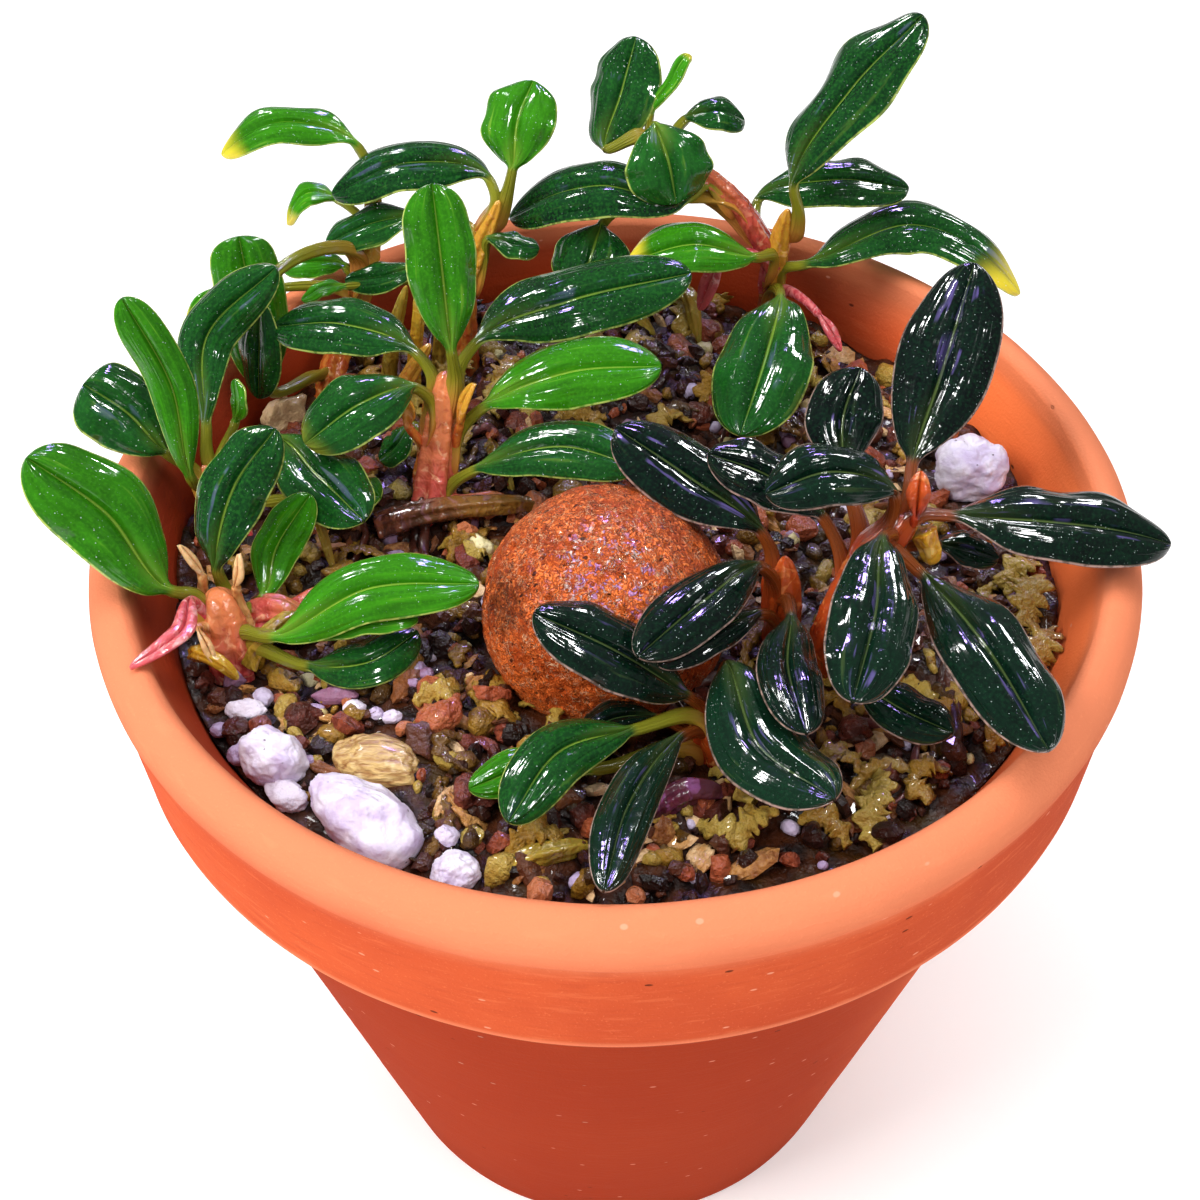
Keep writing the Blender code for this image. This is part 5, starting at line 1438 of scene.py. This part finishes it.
class BUCEPHALANDRA_OT_stems(bpy.types.Operator):
    """Make the stems, roots and sheaths"""

    bl_idname = "bucephalandra.stems"
    bl_label = "Stems"

    def execute(self, context):
        look = scene_look(context, "stems")
        leaf_look = scene_look(context, "leaves")
        finishes = {name: stem_finish(name + "_flesh", colours) for name, colours in STEM_LOOKS.items()}
        for seed, (stem, (radius, slot, runs)) in enumerate(STEMS.items()):
            for number, points in enumerate(runs):
                name = stem + ("_side_shoot" if number else "_stem")
                size = radius * (SHOOT_SHARE if number else 1.0)
                surface, uv = stem_surface(points, size, look, seed)
                nodes = () if number else ("stem_" + stem,)
                finish = finishes["shoot" if number and slot == "orange_stem" else slot]
                put(skin(name, surface, uv=uv), finish, slot, *nodes)
        for seed, (name, kind, radius, points) in enumerate(ROOTS):
            surface, uv = stem_surface(points, radius, look, seed)
            put(skin(name, surface, uv=uv), finishes[kind], ROOT_SLOTS.get(kind, kind))
        for number, (stem, run, height, base, tip, arch, bow, width, kind) in enumerate(SHEATHS, 1):
            base, tip = np.array(base, float), np.array(tip, float)
            foot, start = petiole_foot(stem, run, height, base)
            surface, uv, _ = leaf_surface(foot, start, base, tip, arch, bow, width, 0, leaf_look, 0.0,
                                          number, fold=0.3, tip_power=1.4)
            put(skin(f"sheath_{number}", surface, uv=uv), finishes[kind], ROOT_SLOTS.get(kind, kind))
        return {"FINISHED"}


class BUCEPHALANDRA_OT_leaves(bpy.types.Operator):
    """Make the leaves"""

    bl_idname = "bucephalandra.leaves"
    bl_label = "Leaves"

    def execute(self, context):
        look = scene_look(context, "leaves")
        finishes = {kind: leaf_finish(f"wet_{kind}_leaf", colours) for kind, colours in LEAF_LOOKS.items()}
        rows = [(stem, *leaf) for stem, leaves in LEAVES.items() for leaf in leaves]
        rows += [(stem, "", *leaf) for stem, leaves in SMALL_LEAVES.items() for leaf in leaves]
        for seed, (stem, leaf, run, height, base, tip, *form, kind, youth) in enumerate(rows):
            base, tip = np.array(base, float), np.array(tip, float)
            foot, start = petiole_foot(stem, run, height, base)
            arch, bow, width, roll = form
            own = leaf or ("bud" if youth == 1.0 else "")
            wave = WAVY.get(own, look.wave / MM) * min(width / FULL_WAVE_WIDTH, 1.0)
            surface, uv, under = leaf_surface(
                foot, start, base, tip, arch, bow, width, roll, look, wave, seed,
                tip_power=SQUARE_TIPS.get(own, LEAF_TIP_POWER), curl=CURLED_TIPS.get(own, 0.0))
            values = {"youth": youth, "tip": YELLOW_TIPS.get(own, 0.0), "under": under, "seed": 3.7 * seed}
            name, nodes = f"small_leaf_{seed}", ()
            if leaf:
                group, number = leaf.split("_")
                name, nodes = f"leaf_blade_{number}_{group}", ("leaf_" + leaf,)
            put(skin(name, surface, uv=uv, values=values), finishes[kind], kind + "_leaf", *nodes)
        return {"FINISHED"}


class BUCEPHALANDRA_OT_stage(bpy.types.Operator):
    """Make the floor, the lights and the camera"""

    bl_idname = "bucephalandra.stage"
    bl_label = "Stage"

    def execute(self, context):
        look = scene_look(context, "stage")
        bpy.ops.mesh.primitive_plane_add(size=FLOOR_SIZE)
        floor = context.object
        floor.name = "floor"
        f = Finish("pale_floor")
        pale = f.done(Base_Color=(0.9, 0.9, 0.9), Roughness=0.9, Emission_Color=(1.0, 1.0, 1.0),
                      Emission_Strength=0.3)
        floor.data.materials.append(pale)
        for name, place, size, power, colour, glossy in LIGHTS:
            light = bpy.data.lights.new(name + "_light", "AREA")
            light.shape = "RECTANGLE"
            light.size, light.size_y = size
            light.energy = power
            light.color = colour
            lamp = bpy.data.objects.new(name + "_light", light)
            lamp.location = place
            aim = Vector(LIGHTS_AIM) - Vector(place)
            lamp.rotation_euler = aim.to_track_quat("-Z", "Y").to_euler()
            lamp.visible_glossy = glossy
            lamp.visible_diffuse = not glossy
            context.scene.collection.objects.link(lamp)
        world = bpy.data.worlds.new("studio")
        world.use_nodes = True
        background = world.node_tree.nodes["Background"]
        background.inputs["Color"].default_value = (0.97, 0.98, 1.0, 1.0)
        background.inputs["Strength"].default_value = look.sky
        context.scene.world = world
        context.scene.view_settings.view_transform = "Standard"
        lens = bpy.data.cameras.new("camera")
        lens.lens = look.lens
        lens.sensor_width = 36.0
        lens.shift_x = look.shift
        lens.clip_start = 0.01
        camera = bpy.data.objects.new("camera", lens)
        camera.location = (0.0, -look.camera_behind, look.camera_height)
        camera.rotation_euler = (look.camera_pitch, 0.0, 0.0)
        context.scene.collection.objects.link(camera)
        context.scene.camera = camera
        return {"FINISHED"}


# Colours of the leaves: blade from deep to young, rib, margin, violet of the painted sheen, white of the
# dots painted as droplet glints, underside, petiole and its foot, and tip. rib_show, margin_show, sheen and
# dot_show are strengths, and dot_gap is millimetres
GREEN = dict(
    rib=(0.34, 0.52, 0.06), margin=(0.5, 0.62, 0.14), violet=(0.2, 0.17, 0.5), dot=(0.7, 0.85, 0.85),
    under=(0.14, 0.4, 0.03), petiole=(0.2, 0.21, 0.015), foot=(0.5, 0.17, 0.035), tip=(0.75, 0.62, 0.04))
LEAF_LOOKS = {
    "green": SimpleNamespace(
        deep=(0.003, 0.035, 0.002), middle=(0.012, 0.11, 0.004), young=(0.05, 0.3, 0.006),
        rib_show=0.75, margin_show=0.85, sheen=0.0, dot_gap=0.36, dot_show=0.7, **GREEN),
    "dark": SimpleNamespace(
        deep=(0.0015, 0.014, 0.005), middle=(0.005, 0.045, 0.01), young=(0.02, 0.17, 0.016),
        rib_show=0.6, margin_show=0.8, sheen=0.25, dot_gap=0.38, dot_show=0.75, **GREEN),
    "black": SimpleNamespace(
        deep=(0.0008, 0.0016, 0.0022), middle=(0.002, 0.008, 0.006), young=(0.006, 0.04, 0.016),
        rib=(0.16, 0.24, 0.06), margin=(0.42, 0.28, 0.24), violet=(0.17, 0.12, 0.42), dot=(0.5, 0.6, 0.6),
        under=(0.05, 0.03, 0.02), petiole=(0.2, 0.045, 0.008), foot=(0.38, 0.04, 0.008),
        tip=(0.4, 0.3, 0.05), rib_show=0.55, margin_show=0.85, sheen=0.5, dot_gap=0.35, dot_show=0.75),
}


def fleshy(deep, flesh, crown, pale):
    """Colours of a stem, root or sheath: its streaks, its flesh, its upper end and its pale places."""
    return SimpleNamespace(deep=deep, flesh=flesh, crown=crown, pale=pale)


STEM_LOOKS = {
    "pink_stem": fleshy((0.42, 0.03, 0.035), (0.64, 0.1, 0.09), (0.66, 0.2, 0.07), (0.85, 0.45, 0.24)),
    "orange_stem": fleshy((0.42, 0.06, 0.015), (0.62, 0.19, 0.03), (0.6, 0.3, 0.03), (0.85, 0.5, 0.2)),
    "shoot": fleshy((0.3, 0.02, 0.02), (0.55, 0.08, 0.06), (0.55, 0.14, 0.05), (0.8, 0.4, 0.25)),
    "red_stem": fleshy((0.12, 0.007, 0.003), (0.36, 0.035, 0.007), (0.46, 0.07, 0.01), (0.75, 0.28, 0.08)),
    "pink_sheath": fleshy((0.5, 0.05, 0.07), (0.68, 0.18, 0.19), (0.62, 0.1, 0.12), (0.86, 0.5, 0.5)),
    "husk_sheath": fleshy((0.5, 0.2, 0.06), (0.75, 0.42, 0.16), (0.8, 0.5, 0.24), (0.9, 0.7, 0.45)),
    "brown_root": fleshy((0.05, 0.012, 0.008), (0.17, 0.05, 0.025), (0.25, 0.12, 0.02), (0.3, 0.14, 0.16)),
    "olive_root": fleshy((0.16, 0.09, 0.006), (0.4, 0.26, 0.03), (0.34, 0.24, 0.03), (0.6, 0.46, 0.1)),
    "violet_root": fleshy((0.05, 0.006, 0.02), (0.15, 0.02, 0.06), (0.12, 0.03, 0.05), (0.4, 0.14, 0.4)),
    "amber": fleshy((0.4, 0.16, 0.008), (0.62, 0.34, 0.02), (0.6, 0.36, 0.03), (0.85, 0.66, 0.2)),
}

# Material slots of the looks that aren't slots themselves
ROOT_SLOTS = {"pink_sheath": "pink_stem", "husk_sheath": "pink_stem", "brown_root": "bark",
              "olive_root": "orange_stem", "violet_root": "bark", "amber": "orange_stem"}

# Size of the floor, and the place that the lamps face, in metres
FLOOR_SIZE = 6.0
LIGHTS_AIM = (0.0, 0.0, 0.1)

# Lamps: name, place and size in metres, power, colour, and whether it lights only by its reflection
LIGHTS = (
    ("key", (-0.5, -0.2, 0.6), (0.4, 0.4), 4.9, (1.0, 0.97, 0.94), False),
    ("front", (-0.15, -0.7, 0.25), (0.6, 0.4), 1.3, (1.0, 0.93, 0.93), False),
    ("right", (0.45, -0.3, 0.65), (0.4, 0.4), 1.8, (1.0, 0.95, 0.93), False),
    ("top", (0.0, 0.05, 0.8), (0.5, 0.5), 3.6, (1.0, 1.0, 1.0), False),
    ("left_glint", (-0.35, 0.32, 0.62), (0.05, 0.13), 3.4, (1.0, 1.0, 1.0), True),
    ("right_glint", (0.3, 0.42, 0.55), (0.12, 0.05), 3.0, (0.95, 0.97, 1.0), True),
    ("violet_glint", (0.05, 0.5, 0.62), (0.12, 0.05), 4.0, (0.45, 0.3, 1.0), True),
    ("front_glint", (0.2, -0.2, 0.7), (0.05, 0.09), 2.2, (1.0, 1.0, 1.0), True),
)

OPERATORS = (
    BUCEPHALANDRA_OT_stage,
    BUCEPHALANDRA_OT_pot,
    BUCEPHALANDRA_OT_substrate,
    BUCEPHALANDRA_OT_ball,
    BUCEPHALANDRA_OT_stones,
    BUCEPHALANDRA_OT_bits,
    BUCEPHALANDRA_OT_stems,
    BUCEPHALANDRA_OT_leaves,
)


class BUCEPHALANDRA_PT_panel(bpy.types.Panel):
    """The pot's pieces and their settings"""

    bl_label = "Bucephalandra"
    bl_space_type = "VIEW_3D"
    bl_region_type = "UI"
    bl_category = "Bucephalandra"

    def draw(self, context):
        for operator in OPERATORS:
            self.layout.operator(operator.bl_idname)
        for title, group in SETTINGS.items():
            box = self.layout.box()
            for name in group.__annotations__:
                box.prop(getattr(context.scene, title), name)


def register():
    for title, group in SETTINGS.items():
        bpy.utils.register_class(group)
        setattr(bpy.types.Scene, title, PointerProperty(type=group))
    for group in (*OPERATORS, BUCEPHALANDRA_PT_panel):
        bpy.utils.register_class(group)


def unregister():
    for group in (BUCEPHALANDRA_PT_panel, *reversed(OPERATORS)):
        bpy.utils.unregister_class(group)
    for title, group in SETTINGS.items():
        delattr(bpy.types.Scene, title)
        bpy.utils.unregister_class(group)


def main():
    register()
    for operator in OPERATORS:
        group, name = operator.bl_idname.split(".")
        getattr(getattr(bpy.ops, group), name)()


if __name__ == "__main__":
    main()
